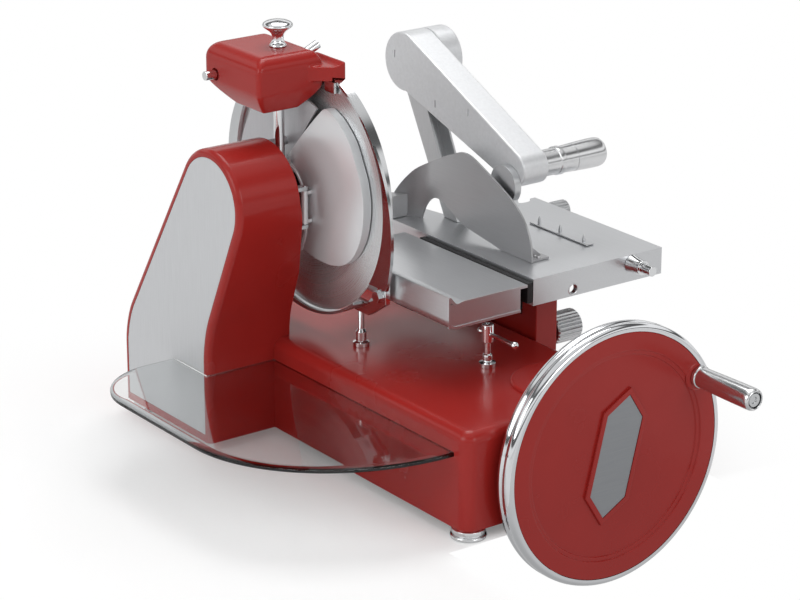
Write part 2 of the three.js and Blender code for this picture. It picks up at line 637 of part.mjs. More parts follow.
function toothed(u, v, radius, tooth, count) {
  const step = 360 / count;
  const points = [];
  for (let i = 0; i < count; i += 1) {
    const middle = i * step;
    points.push(...arc(u, v, radius + tooth, middle - step / 8, middle + step / 8, 1));
    points.push(...arc(u, v, radius, middle + step / 3, middle + (step * 2) / 3, 1));
  }
  return points;
}

const sprocket = (y, z, pitch, x0, x1) => alongX(
  toothed(y, z, pitch - chain.rootDrop, chain.tooth, chain.teeth), x0, x1);

function chainBand(name, from, to, inner, outer, x0, x1) {
  const facing = THREE.MathUtils.radToDeg(Math.atan2(to[1] - from[1], to[0] - from[0]));
  const track = (radius) => [
    ...arc(from[0], from[1], radius, facing + 90, facing + 270, chain.steps),
    ...arc(to[0], to[1], radius, facing - 90, facing + 90, chain.steps),
  ];
  addPart(name, alongX(track(outer), x0, x1, 0, [track(inner)]), 'darkSteel');
}

const chainRight = chain.blade + chain.width;
const loopRight = loop.x + chain.width;
const crossPlace = [cross.y, wheel.z];
chainBand('blade_chain', crossPlace, [blade.y, blade.z], chain.inner, chain.outer, chain.blade, chainRight);
addPart('cross_shaft', union([
  rodX(cross.y, wheel.z, cross.radius, cross.left, cross.right, facets.pin), pinion,
  sprocket(cross.y, wheel.z, chain.inner, chain.blade, chainRight),
  sprocket(cross.y, wheel.z, loop.inner, loop.x, loopRight),
]), 'steel');
addPart('loop_sprocket', sprocket(loop.front, wheel.z, loop.inner, loop.x, loopRight)
  .subtract(rodX(loop.front, wheel.z, cross.radius + gap, loop.x - past, loopRight + past)), 'steel');
chainBand('carriage_chain', [loop.front, wheel.z], crossPlace, loop.inner, loop.outer, loop.x, loopRight);
addPart('drive_frame', union([
  box(cradle.left, cradle.right, cradle.front, cradle.rear, blockFoot, blockFoot + cradle.thickness),
  bearingBlock(alongY, gearFront - cradle.behindGear, wheel.x, shaft.radius),
  bearingBlock(alongX, cradle.crossX, cross.y, cross.radius),
  alongX(supportOutline(loop.front), loop.x - loop.support - running, loop.x - running),
  rodX(loop.front, wheel.z, cross.radius, loop.x - loop.stub, loopRight),
]), 'cast');

// Blade and its shaft

const bladeCentre = [0, blade.y, blade.z];
const hubFace = blade.hubX + blade.thickness;
addPart('blade', turned('x', bladeCentre, [
  [blade.hubX, blade.bore + gap], [blade.hubX, blade.hub], [blade.riseX, bladeRise],
  [blade.edge - blade.tip, blade.radius], [blade.edge, blade.radius],
    [blade.riseX + blade.thickness, bladeRise],
  [hubFace, blade.hub], [hubFace, blade.bore + gap], [blade.hubX, blade.bore + gap],
], facets.blade), 'steel');
addPart('blade_shaft', union([
  rodX(blade.y, blade.z, blade.bore, blade.shaftLeft, hubFace),
  rodX(blade.y, blade.z, blade.flange, blade.flangeStart, blade.hubX - gap, facets.round),
  sprocket(blade.y, blade.z, chain.inner, chain.blade, chainRight),
]), 'steel');
addPart('blade_cap', turned('x', bladeCentre, [
  [hubFace + gap, 0], [hubFace + gap, blade.capRadius],
    [blade.capEnd - blade.capSlope, blade.capRadius - running],
  [blade.capEnd, blade.capTop], [blade.capEnd, 0],
], facets.round), 'chrome');
addPart('blade_sleeve', ringX(blade.y, blade.z, blade.bore + gap, sleeve.outer, sleeve.left, sleeve.right),
  'cast');

// Guards round the blade

const roundBlade = (radius, x0, x1) => alongX(circle(blade.y, blade.z, radius, facets.guard), x0, x1);
const ringFoot = ring.z - ring.drop;
const ringSector = alongX([
  [ring.y - ringOuter - past, ringFoot], [blade.y - ring.cut, ringFoot], [ring.topY, ring.z + ring.cut],
  [ring.topY, ring.z + ringOuter + past], [ring.y - ringOuter - past, ring.z + ringOuter + past],
], ring.left - past, ring.right + past);
addPart('guard_ring', alongX(circle(ring.y, ring.z, ringOuter, facets.guard), ring.left, ring.right)
  .add(roundBlade(ringInner + ring.thin, ring.left, ring.right))
  .subtract(roundBlade(ringInner, ring.left - past, ring.right + past)).intersect(ringSector), 'aluminium');

// The rear guard is a crescent whose outer edge moves away from the blade towards the back.
const guardLine = new THREE.CatmullRomCurve3(
  rearGuardLine.map(([degrees, reach]) => new THREE.Vector3(degrees, blade.radius + reach, 0)), false,
    'centripetal');
const guardSteps = facets.guard / 2;
const rearOuter = guardLine.getPoints(guardSteps).map(({ x, y }) => arc(blade.y, blade.z, y, x, x, 1)[0]);
const [startDegrees] = rearGuardLine[0];
const [endDegrees] = rearGuardLine.at(-1);
const rearInner = arc(blade.y, blade.z, ringInner, endDegrees, startDegrees, guardSteps);
const standoff = rodX(blade.y + ringInner + rearGuard.standoffOut, blade.z - rearGuard.standoffDrop,
  rearGuard.standoffRadius, towerNeck[0] - past, rearGuard.left + running, facets.small);
addPart('rear_guard', alongX([...rearOuter, ...rearInner].reverse(), rearGuard.left, rearGuard.right)
  .add(standoff).subtract(towerLimit(gap)), 'aluminium');

const coverSector = [
  [coverCorner.y, coverCorner.z],
  ...arc(blade.y, blade.z, bladeRise + bladeCover.over, bladeCover.fromDeg, bladeCover.toDeg, 20),
];
const coverPlate = alongX(coverSector, bladeCover.left, bladeCover.right)
  .subtract(rodX(blade.y, blade.z, bladeCover.hole, bladeCover.left - past, bladeCover.right + past));
const bosses = coverBosses.map(([y, z]) => rodX(y, z, bladeCover.boss, bladeCover.root,
  bladeCover.left + running,
  facets.small));
addPart('blade_cover', union([coverPlate, ...bosses]).subtract(towerLimit(gap)), 'silverPaint');

const domeCentre = (deflector.domeRadius ** 2 + deflector.dome ** 2) / (2 * deflector.dome);
function domeLine(shift) {
  const points = [];
  for (let i = 0; i <= deflector.steps; i += 1) {
    const r = (deflector.reach * i) / deflector.steps;
    points.push([deflector.left + shift + domeCentre - Math.sqrt(domeCentre * domeCentre - r * r), r]);
  }
  return points;
}
const dome = turned('x', [0, deflector.y, deflector.z],
  [...domeLine(0), ...domeLine(deflector.thickness).reverse()], facets.hub);
const knuckleBottom = hinge.bottom + hinge.lug + 2 * gap;
const knuckleTop = hinge.top - hinge.lug - 2 * gap;
const knuckle = rodZ(hinge.x, hinge.y, hinge.knuckle, knuckleBottom, knuckleTop, facets.pin)
  .add(box(hinge.x, deflector.left + deflector.thickness, hinge.y - hinge.knuckle, hinge.y, knuckleBottom,
    knuckleTop))
  .subtract(rodZ(hinge.x, hinge.y, hinge.radius + gap, knuckleBottom - past, knuckleTop + past, facets.pin));
addPart('deflector', dome
  .intersect(alongX([...deflectorOutline].reverse(), deflector.left - past, blade.edge))
  .subtract(rodX(blade.y, blade.z, blade.flange + 2 * running, deflector.left - past, blade.edge))
  .add(knuckle), 'steel');
const hingeFront = hinge.y - hinge.lugHalf;
const hingeRear = hinge.y + hinge.lugHalf;
const lugAt = (z) => box(hinge.root, hinge.x + hinge.lugHalf, hingeFront, hingeRear, z, z + hinge.lug);
addPart('deflector_bracket', union([
  lugAt(hinge.bottom), lugAt(hinge.top - hinge.lug),
  box(hinge.root, hinge.x - hinge.knuckle - running, hingeFront, hingeRear, hinge.bottom, hinge.top),
]).subtract(towerLimit(gap))
  .subtract(rodX(blade.y, blade.z, sleeve.outer + running, hinge.root - past, deflector.left + past))
  .add(rodZ(hinge.x, hinge.y, hinge.radius, hinge.bottom, hinge.top + running, facets.pin)), 'steel');

// Guard support

const seat = base.top + gap;
const guardStem = turned('z', [post.x, post.y, 0], [
  [seat, 0], [seat, post.flange], [seat + post.flangeHeight, post.flange],
  [seat + post.flangeHeight + post.shoulder, post.collar],
    [base.top + post.collarTop - post.taper, post.collar],
  [base.top + post.collarTop, post.stem], [post.stemTop, post.stem], [post.stemTop, 0],
], facets.knob);
addPart('guard_post', guardStem.add(alongX([...bracketOutline].reverse(), bracket.left, bracket.right))
  .subtract(rodX(clampKnob.y, clampKnob.z, clampKnob.stem + gap, bracket.left - past, bracket.right + past,
    facets.pin)), 'chrome');
addPart('guard_clamp_knob', union([
  alongX(circle(clampKnob.y, clampKnob.z, clampKnob.radius, 6), bracket.left - clampKnob.head - gap,
    bracket.left - gap),
  rodX(clampKnob.y, clampKnob.z, clampKnob.stem, bracket.left - running, bracket.left + clampKnob.grip,
    facets.pin),
]), 'chrome');

// Sharpener

// A block with a rectangle at each end, the upper one of another size.
function frustum(lower, upper) {
  const corners = ({ left, right, front, rear, z }) => [
    [left, front, z], [right, front, z], [right, rear, z], [left, rear, z],
  ];
  const points = [...corners(lower), ...corners(upper)];
  const faces = [0, 2, 1, 0, 3, 2, 4, 5, 6, 4, 6, 7];
  for (let i = 0; i < 4; i += 1) {
    const next = (i + 1) % 4;
    faces.push(i, next, next + 4, i, next + 4, i + 4);
  }
  const geometry = new THREE.BufferGeometry();
  geometry.setAttribute('position', new THREE.Float32BufferAttribute(points.flat(), 3));
  geometry.setIndex(faces);
  return solidOf(geometry);
}

const stubAim = new THREE.Matrix4().makeTranslation(stub.x, stub.y, stub.z)
  .multiply(new THREE.Matrix4().makeRotationY(radians(stub.tilt)));
function stubRod(radius, from, to) {
  const geometry = new THREE.LatheGeometry([[0, from], [radius, from], [radius, to], [0, to]]
    .map(([r, h]) => new THREE.Vector2(r, h)), facets.rod);
  geometry.applyMatrix4(turnAxes.z);
  geometry.applyMatrix4(stubAim);
  return solidOf(geometry);
}

const rodBore = rodZ(rod.x, rod.y, rod.radius + gap, headFoot.z - past, rod.top + gap);
const noseStep = rodY(nose.stepX, nose.top + nose.stepRise, nose.stepRadius, nose.front - past,
  nose.front + nose.stepLength);
const noseBlock = box(nose.left, nose.right, nose.front, nose.rear, nose.bottom, nose.top).subtract(noseStep);
const axleBore = rodX(axle.y, axle.z, axle.radius + gap, headShoulder.left - past,
  headShoulder.left + axle.bore);
const stoneBore = rodX(stone.y, stone.z, stone.spindle + gap, bladeSlot.right - past, nose.right + past,
  facets.small);
const stonePocket = rodX(stone.y, stone.z, stone.radius + running, bladeSlot.left, bladeSlot.right,
  facets.knob);
const slotDisc = rodX(blade.y, blade.z, blade.radius + bladeSlot.clearance, bladeSlot.left, bladeSlot.right,
  facets.wheel);
const headBody = union([
  frustum(headFoot, headLow), frustum(headLow, headShoulder), frustum(headShoulder, headTop),
]);
addPart('sharpener_head', headBody.add(noseBlock).subtract(rodBore).subtract(axleBore).subtract(stoneBore)
  .subtract(slotDisc).subtract(stonePocket)
  .subtract(stubRod(stub.radius + gap, -stub.depth - gap, stub.length * 2)), 'redPaint');
addPart('sharpener_rod', box(rodBracket.left, rodBracket.right, rodBracket.front, rodBracket.rear, rod.bottom,
  rod.bottom + rodBracket.height).subtract(towerLimit(gap))
    .add(rodZ(rod.x, rod.y, rod.radius, rod.bottom, rod.top)),
'chrome');
const knobSeat = headTop.z + gap;
addPart('sharpener_knob', turned('z', [rod.x + knob.shiftX, rod.y + knob.shiftY, knobSeat],
  [[0, 0], ...knobLine], facets.round), 'chrome');
addPart('sharpener_stub', stubRod(stub.radius, -stub.depth, stub.length), 'chrome');
addPart('sharpening_stone', union([
  rodX(stone.y, stone.z, stone.radius, stone.left, stone.right, facets.knob),
  rodX(stone.y, stone.z, stone.spindle, stone.right - running, stone.end, facets.small),
]), 'stoneGrey');
const clipTop = nose.bottom - gap;
addPart('guard_clip', box(clip.left, ring.left - gap, clip.front, clip.rear, clipTop - clip.drop, clipTop),
  'chrome');
addPart('sharpener_axle', rodX(axle.y, axle.z, axle.radius, headShoulder.left - axle.length,
  headShoulder.left + axle.seat), 'chrome');

// Carriage support and guide

const railFront = wall.front + wall.railEnd;
const railRear = wall.rear - wall.railEnd;
const wallOutline = [
  [wall.front, wall.bottom], [wall.rear, wall.bottom], [wall.rear, wall.crown],
  [wall.rear - wall.crownWidth, wall.crown], [wall.rear - wall.crownWidth, wall.top],
  [wall.front + wall.crownWidth, wall.top], [wall.front + wall.crownWidth, wall.crown],
    [wall.front, wall.crown],
];
addPart('carriage_wall', alongX(wallOutline, wall.left, wall.right)
  .subtract(slotBox(wall.left - past, wall.right + past))
  .subtract(rodY(rail.x, rail.z, rail.radius + gap, railFront, railRear))
  .subtract(rodX(thickness.y, thickness.z, thickness.spindle + gap, thickness.root, wall.right + past)),
'redPaint');
addPart('guide_rail', rodY(rail.x, rail.z, rail.radius, railFront + gap, railRear - gap, facets.knob),
  'chrome');

const nutTop = table.top - table.roof - running;
addPart('saddle', union([
  box(saddle.left, saddle.right, saddle.front, saddle.rear, saddle.bottom, saddle.top),
  box(crossBar.left, crossBar.right, crossBar.front, crossBar.rear, crossBar.bottom, crossBar.top),
  box(feed.nutLeft, feed.nutRight, crossBar.rear - running, feed.y + feed.half, crossBar.bottom,
    crossBar.top),
  box(feed.nutLeft, feed.nutRight, feed.y - feed.half, feed.y + feed.half, crossBar.bottom, nutTop),
  box(leg.left, leg.right, leg.front, leg.rear, leg.bottom, crossBar.top),
]).subtract(rodY(rail.x, rail.z, rail.radius + gap, saddle.front - past, saddle.rear + past, facets.knob))
  .subtract(rodX(feed.y, feed.z, feed.radius + gap, feed.nutLeft - past, feed.nutRight + past))
  .subtract(rodX(drivePin.y, drivePin.z, drivePin.radius + gap, leg.left - past, leg.right + past,
    facets.pin)),
'cast');
addPart('drive_pin', turned('x', [0, drivePin.y, drivePin.z], [
  [drivePin.left, 0], [drivePin.left, drivePin.radius], [leg.right + gap, drivePin.radius],
  [leg.right + gap, drivePin.head], [drivePin.right, drivePin.head], [drivePin.right, 0],
], facets.pin), 'steel');
addPart('carriage_tray', alongY(gaugeOutline, gauge.front, gauge.rear), 'aluminium');
addPart('sealing_strip', box(strip.left, strip.right, strip.front, strip.rear, strip.bottom, strip.top),
  'black');

// Meat table

const tableOutline = [
  [table.left, table.front], [table.right, table.front], [table.right, table.rear],
  [table.right - table.notchEdge, table.rear],
  ...arc(table.notchX, table.rear, table.notchHalf, 0, -180, 8, table.notchDepth),
  [table.notchX - table.notchHalf - table.notchEdge, table.rear], [table.tailRight, table.rear],
  [table.tailRight - table.tailSlope, table.tail], [table.left, table.tail],
];
const hollow = box(table.left + table.skin, table.right - table.skin, table.front + table.skin,
  table.rear - table.notchDepth - table.skin, table.bottom - past, table.top - table.roof);
const gibAt = (y) => box(gib.left, gib.right, y, y + gib.thickness, gib.bottom, table.top - running);
const throughFront = (x, z, radius) => rodY(x, z, radius, table.front - past, table.front + table.skin + past,
  facets.pin);
addPart('meat_table', alongZ(tableOutline, table.bottom, table.top).subtract(hollow)
  .add(gibAt(crossBar.front - gap - gib.thickness)).add(gibAt(crossBar.rear + gap))
  .subtract(throughFront(portHole.x, portHole.z, portHole.radius))
  .subtract(throughFront(release.x, release.z, release.radius + gap))
  .subtract(rodX(feed.y, feed.z, feed.radius + gap, table.right - table.skin - past, table.right + past,
    facets.pin)), 'aluminium');

const tableFront = table.front - gap;
addPart('release_shaft', turned('y', [release.x, 0, release.z], [
  [release.inner, 0], [release.inner, release.radius], [tableFront, release.radius],
    [tableFront, release.boss],
  [release.bossEnd, release.hub], [release.hubEnd, release.hub], [release.hubEnd, release.radius],
  [release.tip, release.radius], [release.tip, 0],
], facets.knob), 'chrome');

const knobStart = table.right + gap;
addPart('feed_screw', union([
  rodX(feed.y, feed.z, feed.radius, feed.left, knobStart + running),
  alongX(ribbed(feed.y, feed.z, feed.knobRadius, feed.knobRadius - feed.ribDepth, feed.ribs), knobStart,
    knobStart + feed.knobLength),
]), 'aluminium');

// Guard plate on the table, bent away from the meat at its far end

const sheet = guardPlate.thickness;
const bendPath = [];
for (let i = 0; i <= guardPlate.steps; i += 1) {
  const share = i / guardPlate.steps;
  bendPath.push([
    guardPlate.left - (guardPlate.left - guardPlate.endX) * share * share,
    guardPlate.bendY + (guardPlate.endY - guardPlate.bendY) * share,
  ]);
}
const sheetPlan = [
  [guardPlate.left, guardFoot], [guardPlate.left + sheet, guardFoot],
  ...bendPath.map(([x, y]) => [x + sheet, y]), ...[...bendPath].reverse(),
];
const tableSeat = table.top + gap;
const toeFoot = box(guardPlate.left, toe.x + toe.width, toe.y, toe.y + toe.depth, tableSeat,
  tableSeat + toe.thickness)
  .add(alongY([[toe.x, tableSeat], [toe.x + toe.width, tableSeat], [toe.x, tableSeat + toe.height]],
    toe.y + toe.depth - toe.thickness, toe.y + toe.depth));
const plateCut = (outline) => alongX(outline, guardPlate.endX - past, guardPlate.left + past);
addPart('guard_plate', alongZ(sheetPlan, tableSeat, guardPlate.height).intersect(plateCut(guardOutline))
  .subtract(plateCut(archOutline)).add(toeFoot), 'silverPaint');
const besideSheet = [
  ...bendPath.map(([x, y]) => [x - gap, y]), [table.right, guardPlate.endY], [table.right, guardPlate.bendY],
];
addPart('guard_block', box(guardBlock.left, guardBlock.right, guardBlock.front, guardBlock.rear, tableSeat,
  guardBlock.top).subtract(alongZ([...besideSheet].reverse(), table.top, guardBlock.top + past)),
    'aluminium');

const spikeFrom = Math.min(...spikes.ys) - spikes.margin;
const spikeTo = Math.max(...spikes.ys) + spikes.margin;
addPart('spike_strip', union([
  box(spikes.x - spikes.half, spikes.x + spikes.half, spikeFrom, spikeTo, tableSeat,
    tableSeat + spikes.strip),
  ...spikes.ys.map((y) => turned('z', [spikes.x, y, 0], [
    [tableSeat, 0], [tableSeat, spikes.radius], [table.top + spikes.height, 0],
  ], spikes.facets)),
]), 'steel');

// Press arm

const pivotPin = (radius, x0, x1) => rodX(arm.pivotY, arm.pivotZ, radius, x0, x1);
const armSide = capsule(arm.pivotY, arm.pivotZ, arm.pivotRadius, arm.endY, arm.endZ, arm.endRadius,
  facets.pin);
const wedge = [[arm.pivotY, arm.pivotZ], ...arc(arm.pivotY, arm.pivotZ, arm.wedgeReach, arm.wedgeFrom,
  arm.wedgeTo, 8)];
const armInnerLeft = arm.left + arm.skin;
const armInnerRight = arm.right - arm.skin;
const armInside = alongX(inset(armSide, arm.skin), armInnerLeft, armInnerRight)
  .add(alongX(wedge, armInnerLeft, armInnerRight));
addPart('press_arm', alongX(armSide, arm.left, arm.right).subtract(armInside)
  .subtract(pivotPin(upright.pin + gap, armInnerRight - past, arm.right + past)), 'aluminium');
addPart('arm_hub', union([
  rodX(arm.pivotY, arm.pivotZ, arm.pivotRadius, arm.right + gap, arm.hubEnd, facets.hub),
  pivotPin(upright.pin, armInnerLeft + gap, arm.right + running),
]), 'aluminium');

const lean = Math.atan2(arm.pivotZ - table.top, arm.pivotY - upright.footY);
const leanDegrees = THREE.MathUtils.radToDeg(lean);
const footHalf = upright.width / 2 / Math.sin(lean);
const postSide = [
  [upright.footY - footHalf, tableSeat], [upright.footY + footHalf, tableSeat],
  ...arc(arm.pivotY, arm.pivotZ, upright.pivotRadius, leanDegrees - 90, leanDegrees + 90, 10),
];
addPart('arm_post', alongX(postSide, upright.left, upright.right)
  .subtract(alongX(uprightChannel, upright.left + upright.skin, upright.right - upright.skin))
  .subtract(pivotPin(upright.pin + gap, upright.left - past, upright.right + past)), 'silverPaint');
const gripRoot = arm.right + gap;
addPart('arm_grip', turned('x', [gripRoot, arm.endY, arm.endZ], [
  [0, 0], ...gripLine, [gripLine.at(-1)[0], 0],
], facets.large), 'chrome');

const toothStep = press.spanDeg / press.teeth;
const toothPoints = [];
for (let i = 0; i < press.teeth; i += 1) {
  const from = press.fromDeg + i * toothStep;
  const tip = from + toothStep / 2;
  toothPoints.push(arc(press.y, press.z, press.radius - press.root, from, from, 1)[0]);
  toothPoints.push(arc(press.y, press.z, press.radius + press.tooth, tip, tip, 1)[0]);
}
addPart('press_foot', alongX([
  ...toothPoints, ...arc(press.y, press.z, press.radius, press.fromDeg + press.spanDeg, press.fromDeg + 360,
    20),
], press.left, press.right), 'steel');

// Thickness knob and table lever

addPart('thickness_knob', union([
  alongX(ribbed(thickness.y, thickness.z, thickness.radius, thickness.radius - thickness.ribDepth,
    thickness.ribs),
    thickness.left, thickness.right),
  rodX(thickness.y, thickness.z, thickness.spindle, thickness.root + running, thickness.left + running,
    facets.pin),
]), 'aluminium');

addPart('lever_post', turned('z', [lever.x, lever.y, seat],
  [[0, 0], ...leverPostLine, [leverPostLine.at(-1)[0], 0]],
  facets.knob), 'chrome');
const leverBall = (y) => turned('y', [lever.x, y, lever.rodZ], arc(0, 0, lever.rodBall, 180, 0, 8)
  .map(([along, r]) => [along, Math.max(r, 0)]), facets.small);
addPart('table_lever', union([
  turned('z', [lever.x, lever.y, 0], [
    [lever.bottom, 0], [lever.bottom, lever.barrel - lever.edge], [lever.bottom + lever.edge, lever.barrel],
    [lever.top - lever.edge, lever.barrel], [lever.top, lever.barrel - lever.edge], [lever.top, lever.socket],
    [lever.top - lever.socketDepth, lever.socket], [lever.top - lever.socketDepth, 0],
  ], facets.knob),
  rodY(lever.x, lever.rodZ, lever.rodRadius, lever.rodFront, lever.rodRear, facets.small),
  leverBall(lever.rodFront), leverBall(lever.rodRear),
]), 'chrome');

export default group;
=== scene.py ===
import json
import math

import bpy
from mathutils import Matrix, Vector


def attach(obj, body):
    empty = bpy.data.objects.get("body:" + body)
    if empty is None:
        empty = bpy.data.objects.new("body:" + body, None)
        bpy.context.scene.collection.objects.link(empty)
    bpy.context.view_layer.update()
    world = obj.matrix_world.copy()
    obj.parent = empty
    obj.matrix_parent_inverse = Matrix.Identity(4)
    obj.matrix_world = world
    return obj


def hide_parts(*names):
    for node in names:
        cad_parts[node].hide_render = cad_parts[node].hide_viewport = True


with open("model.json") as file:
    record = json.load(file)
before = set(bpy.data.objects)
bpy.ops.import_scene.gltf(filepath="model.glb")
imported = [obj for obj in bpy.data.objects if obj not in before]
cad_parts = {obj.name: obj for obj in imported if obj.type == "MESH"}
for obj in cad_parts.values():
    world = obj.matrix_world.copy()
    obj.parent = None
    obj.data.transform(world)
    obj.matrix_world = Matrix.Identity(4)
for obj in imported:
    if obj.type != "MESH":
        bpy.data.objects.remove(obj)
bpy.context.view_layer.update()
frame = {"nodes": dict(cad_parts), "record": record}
nodes = frame["nodes"]
mm = 0.001


def deselectAll():
    if bpy.context.object and bpy.context.object.mode != "OBJECT":
        bpy.ops.object.mode_set(mode="OBJECT")
    bpy.ops.object.select_all(action="DESELECT")


def pickOnly(piece):
    deselectAll()
    piece.select_set(True)
    bpy.context.view_layer.objects.active = piece


def editAll(piece):
    pickOnly(piece)
    bpy.ops.object.mode_set(mode="EDIT")
    bpy.ops.mesh.select_mode(type="VERT")
    bpy.ops.mesh.select_all(action="SELECT")


def cleanUp(piece, gap=0.005):
    editAll(piece)
    bpy.ops.mesh.remove_doubles(threshold=gap * mm)
    bpy.ops.mesh.normals_make_consistent(inside=False)
    bpy.ops.object.mode_set(mode="OBJECT")


def metres(point):
    return Vector(point) * mm


def placeMesh():
    bpy.ops.object.transform_apply(location=True, rotation=True, scale=True)


# a line drawn vertex by vertex, as with E in edit mode; filled when it is an outline
def drawLine(points, filled):
    deselectAll()
    bpy.ops.mesh.primitive_plane_add(size=mm, location=metres(points[0]))
    piece = bpy.context.object
    placeMesh()
    editAll(piece)
    bpy.ops.mesh.merge(type="CENTER")
    for before, after in zip(points, points[1:]):
        step = metres(after) - metres(before)
        bpy.ops.mesh.extrude_region_move(TRANSFORM_OT_translate={"value": step})
    bpy.ops.mesh.select_all(action="SELECT")
    if filled:
        bpy.ops.mesh.edge_face_add()
    bpy.ops.object.mode_set(mode="OBJECT")
    return piece


axisOf = {"X": Vector((1, 0, 0)), "Y": Vector((0, 1, 0)), "Z": Vector((0, 0, 1))}


# profile points are (place along the axis, radius); the line is spun once round the axis
def spinProfile(axis, centre, profile, steps=64):
    cx, cy, cz = centre
    spots = {
        "X": lambda a, r: (a, cy + r, cz),
        "Y": lambda a, r: (cx + r, a, cz),
        "Z": lambda a, r: (cx + r, cy, a),
    }[axis]
    piece = drawLine([spots(a, r) for a, r in profile], False)
    editAll(piece)
    bpy.ops.mesh.spin(steps=steps, angle=2 * math.pi, center=metres(centre), axis=axisOf[axis])
    bpy.ops.object.mode_set(mode="OBJECT")
    cleanUp(piece)
    return piece


# an outline in the plane across the axis, pushed along it
def pushOutline(axis, outline, start, end):
    spots = {
        "X": lambda u, v: (start, u, v),
        "Y": lambda u, v: (u, start, v),
        "Z": lambda u, v: (u, v, start),
    }[axis]
    piece = drawLine([spots(u, v) for u, v in outline], True)
    editAll(piece)
    bpy.ops.mesh.extrude_region_move(
        TRANSFORM_OT_translate={"value": axisOf[axis] * (end - start) * mm})
    bpy.ops.object.mode_set(mode="OBJECT")
    cleanUp(piece)
    return piece


def blockOf(low, high):
    deselectAll()
    low, high = metres(low), metres(high)
    bpy.ops.mesh.primitive_cube_add(size=1, location=(low + high) / 2)
    piece = bpy.context.object
    piece.scale = high - low
    placeMesh()
    return piece


def rodOf(axis, centre, radius, start, end, vertices=48):
    middle = Vector(centre)
    middle["XYZ".index(axis)] = (start + end) / 2
    turn = {"X": (0, math.pi / 2, 0), "Y": (math.pi / 2, 0, 0), "Z": (0, 0, 0)}[axis]
    deselectAll()
    bpy.ops.mesh.primitive_cylinder_add(vertices=vertices, radius=radius * mm, rotation=turn,
                                        depth=(end - start) * mm, location=middle * mm)
    placeMesh()
    return bpy.context.object


def addModifier(piece, kind, **values):
    pickOnly(piece)
    modifier = piece.modifiers.new(kind.title(), kind)
    for key, value in values.items():
        setattr(modifier, key, value)
    bpy.ops.object.modifier_apply(modifier=modifier.name)


def roundEdges(piece, width, segments, angle=30):
    addModifier(piece, "BEVEL", width=width * mm, segments=segments, limit_method="ANGLE",
                angle_limit=math.radians(angle), use_clamp_overlap=True, miter_outer="MITER_ARC")


# rounds the edges whose two ends (in millimetres) pass the test
def roundWhere(piece, width, segments, test):
    editAll(piece)
    bpy.ops.mesh.select_mode(type="EDGE")
    bpy.ops.mesh.select_all(action="DESELECT")
    bpy.ops.object.mode_set(mode="OBJECT")
    spots = [corner.co * 1000 for corner in piece.data.vertices]
    for edge in piece.data.edges:
        edge.select = test(spots[edge.vertices[0]], spots[edge.vertices[1]])
    bpy.ops.object.mode_set(mode="EDIT")
    bpy.ops.mesh.bevel(offset=width * mm, segments=segments, affect="EDGES", clamp_overlap=True)
    bpy.ops.object.mode_set(mode="OBJECT")


def moveWhere(piece, shift, test):
    editAll(piece)
    bpy.ops.mesh.select_all(action="DESELECT")
    bpy.ops.object.mode_set(mode="OBJECT")
    for corner in piece.data.vertices:
        corner.select = test(corner.co * 1000)
    bpy.ops.object.mode_set(mode="EDIT")
    bpy.ops.transform.translate(value=metres(shift))
    bpy.ops.object.mode_set(mode="OBJECT")


def combine(piece, other, operation="DIFFERENCE"):
    addModifier(piece, "BOOLEAN", operation=operation, object=other, solver="EXACT")
    bpy.data.objects.remove(other)


# round rooms are given in the dictionaries as (radius, start, end)
def bore(piece, axis, centre, radius, start, end, vertices=48):
    combine(piece, rodOf(axis, centre, radius, start, end, vertices))


def smooth(piece, angle=32):
    pickOnly(piece)
    bpy.ops.object.shade_smooth_by_angle(angle=math.radians(angle))
    addModifier(piece, "WEIGHTED_NORMAL", keep_sharp=True, weight=50)


def copyTo(piece, shift):
    pickOnly(piece)
    bpy.ops.object.duplicate(linked=False)
    copied = bpy.context.object
    copied.location = metres(shift)
    placeMesh()
    return copied


def arcPoints(u, v, radius, start, end, steps):
    return [(u + radius * math.cos(math.radians(start + (end - start) * i / steps)),
             v + radius * math.sin(math.radians(start + (end - start) * i / steps)))
            for i in range(steps + 1)]


# a smooth line through measured points
def softLine(points, steps=6, closed=False):
    count = len(points)
    spot = (lambda i: points[i % count]) if closed else (lambda i: points[min(max(i, 0), count - 1)])
    line = []
    for i in range(count if closed else count - 1):
        a, b, c, d = (spot(i + k) for k in (-1, 0, 1, 2))
        for k in range(steps):
            t = k / steps
            line.append(tuple(
                0.5 * (2 * q + (r - p) * t + (2 * p - 5 * q + 4 * r - s) * t * t
                       + (3 * q - p - 3 * r + s) * t ** 3)
                for p, q, r, s in zip(a, b, c, d)))
    return line if closed else line + [points[-1]]


# the angle at which a line from a point touches a circle
def touchAngle(pu, pv, u, v, radius, side):
    spread = math.acos(radius / math.hypot(pu - u, pv - v))
    return math.degrees(math.atan2(pv - v, pu - u) + side * spread)


# two circles joined by their outer tangents
def capsule(u0, v0, r0, u1, v1, r1, steps=28):
    away = math.degrees(math.atan2(v1 - v0, u1 - u0))
    lean = math.degrees(math.acos((r0 - r1) / math.hypot(u1 - u0, v1 - v0)))
    return (arcPoints(u0, v0, r0, away + lean, away + 360 - lean, steps)
            + arcPoints(u1, v1, r1, away - lean, away + lean, steps))


def inset(points, distance):
    count = len(points)
    sides = []
    for i in range(count):
        (u0, v0), (u1, v1) = points[i], points[(i + 1) % count]
        length = math.hypot(u1 - u0, v1 - v0)
        sides.append(((u1 - u0) / length, (v1 - v0) / length))
    moved = []
    for i, (u, v) in enumerate(points):
        (au, av), (bu, bv) = sides[i - 1], sides[i]
        scale = distance / (1 + au * bu + av * bv)
        moved.append((u - (av + bv) * scale, v + (au + bu) * scale))
    return moved


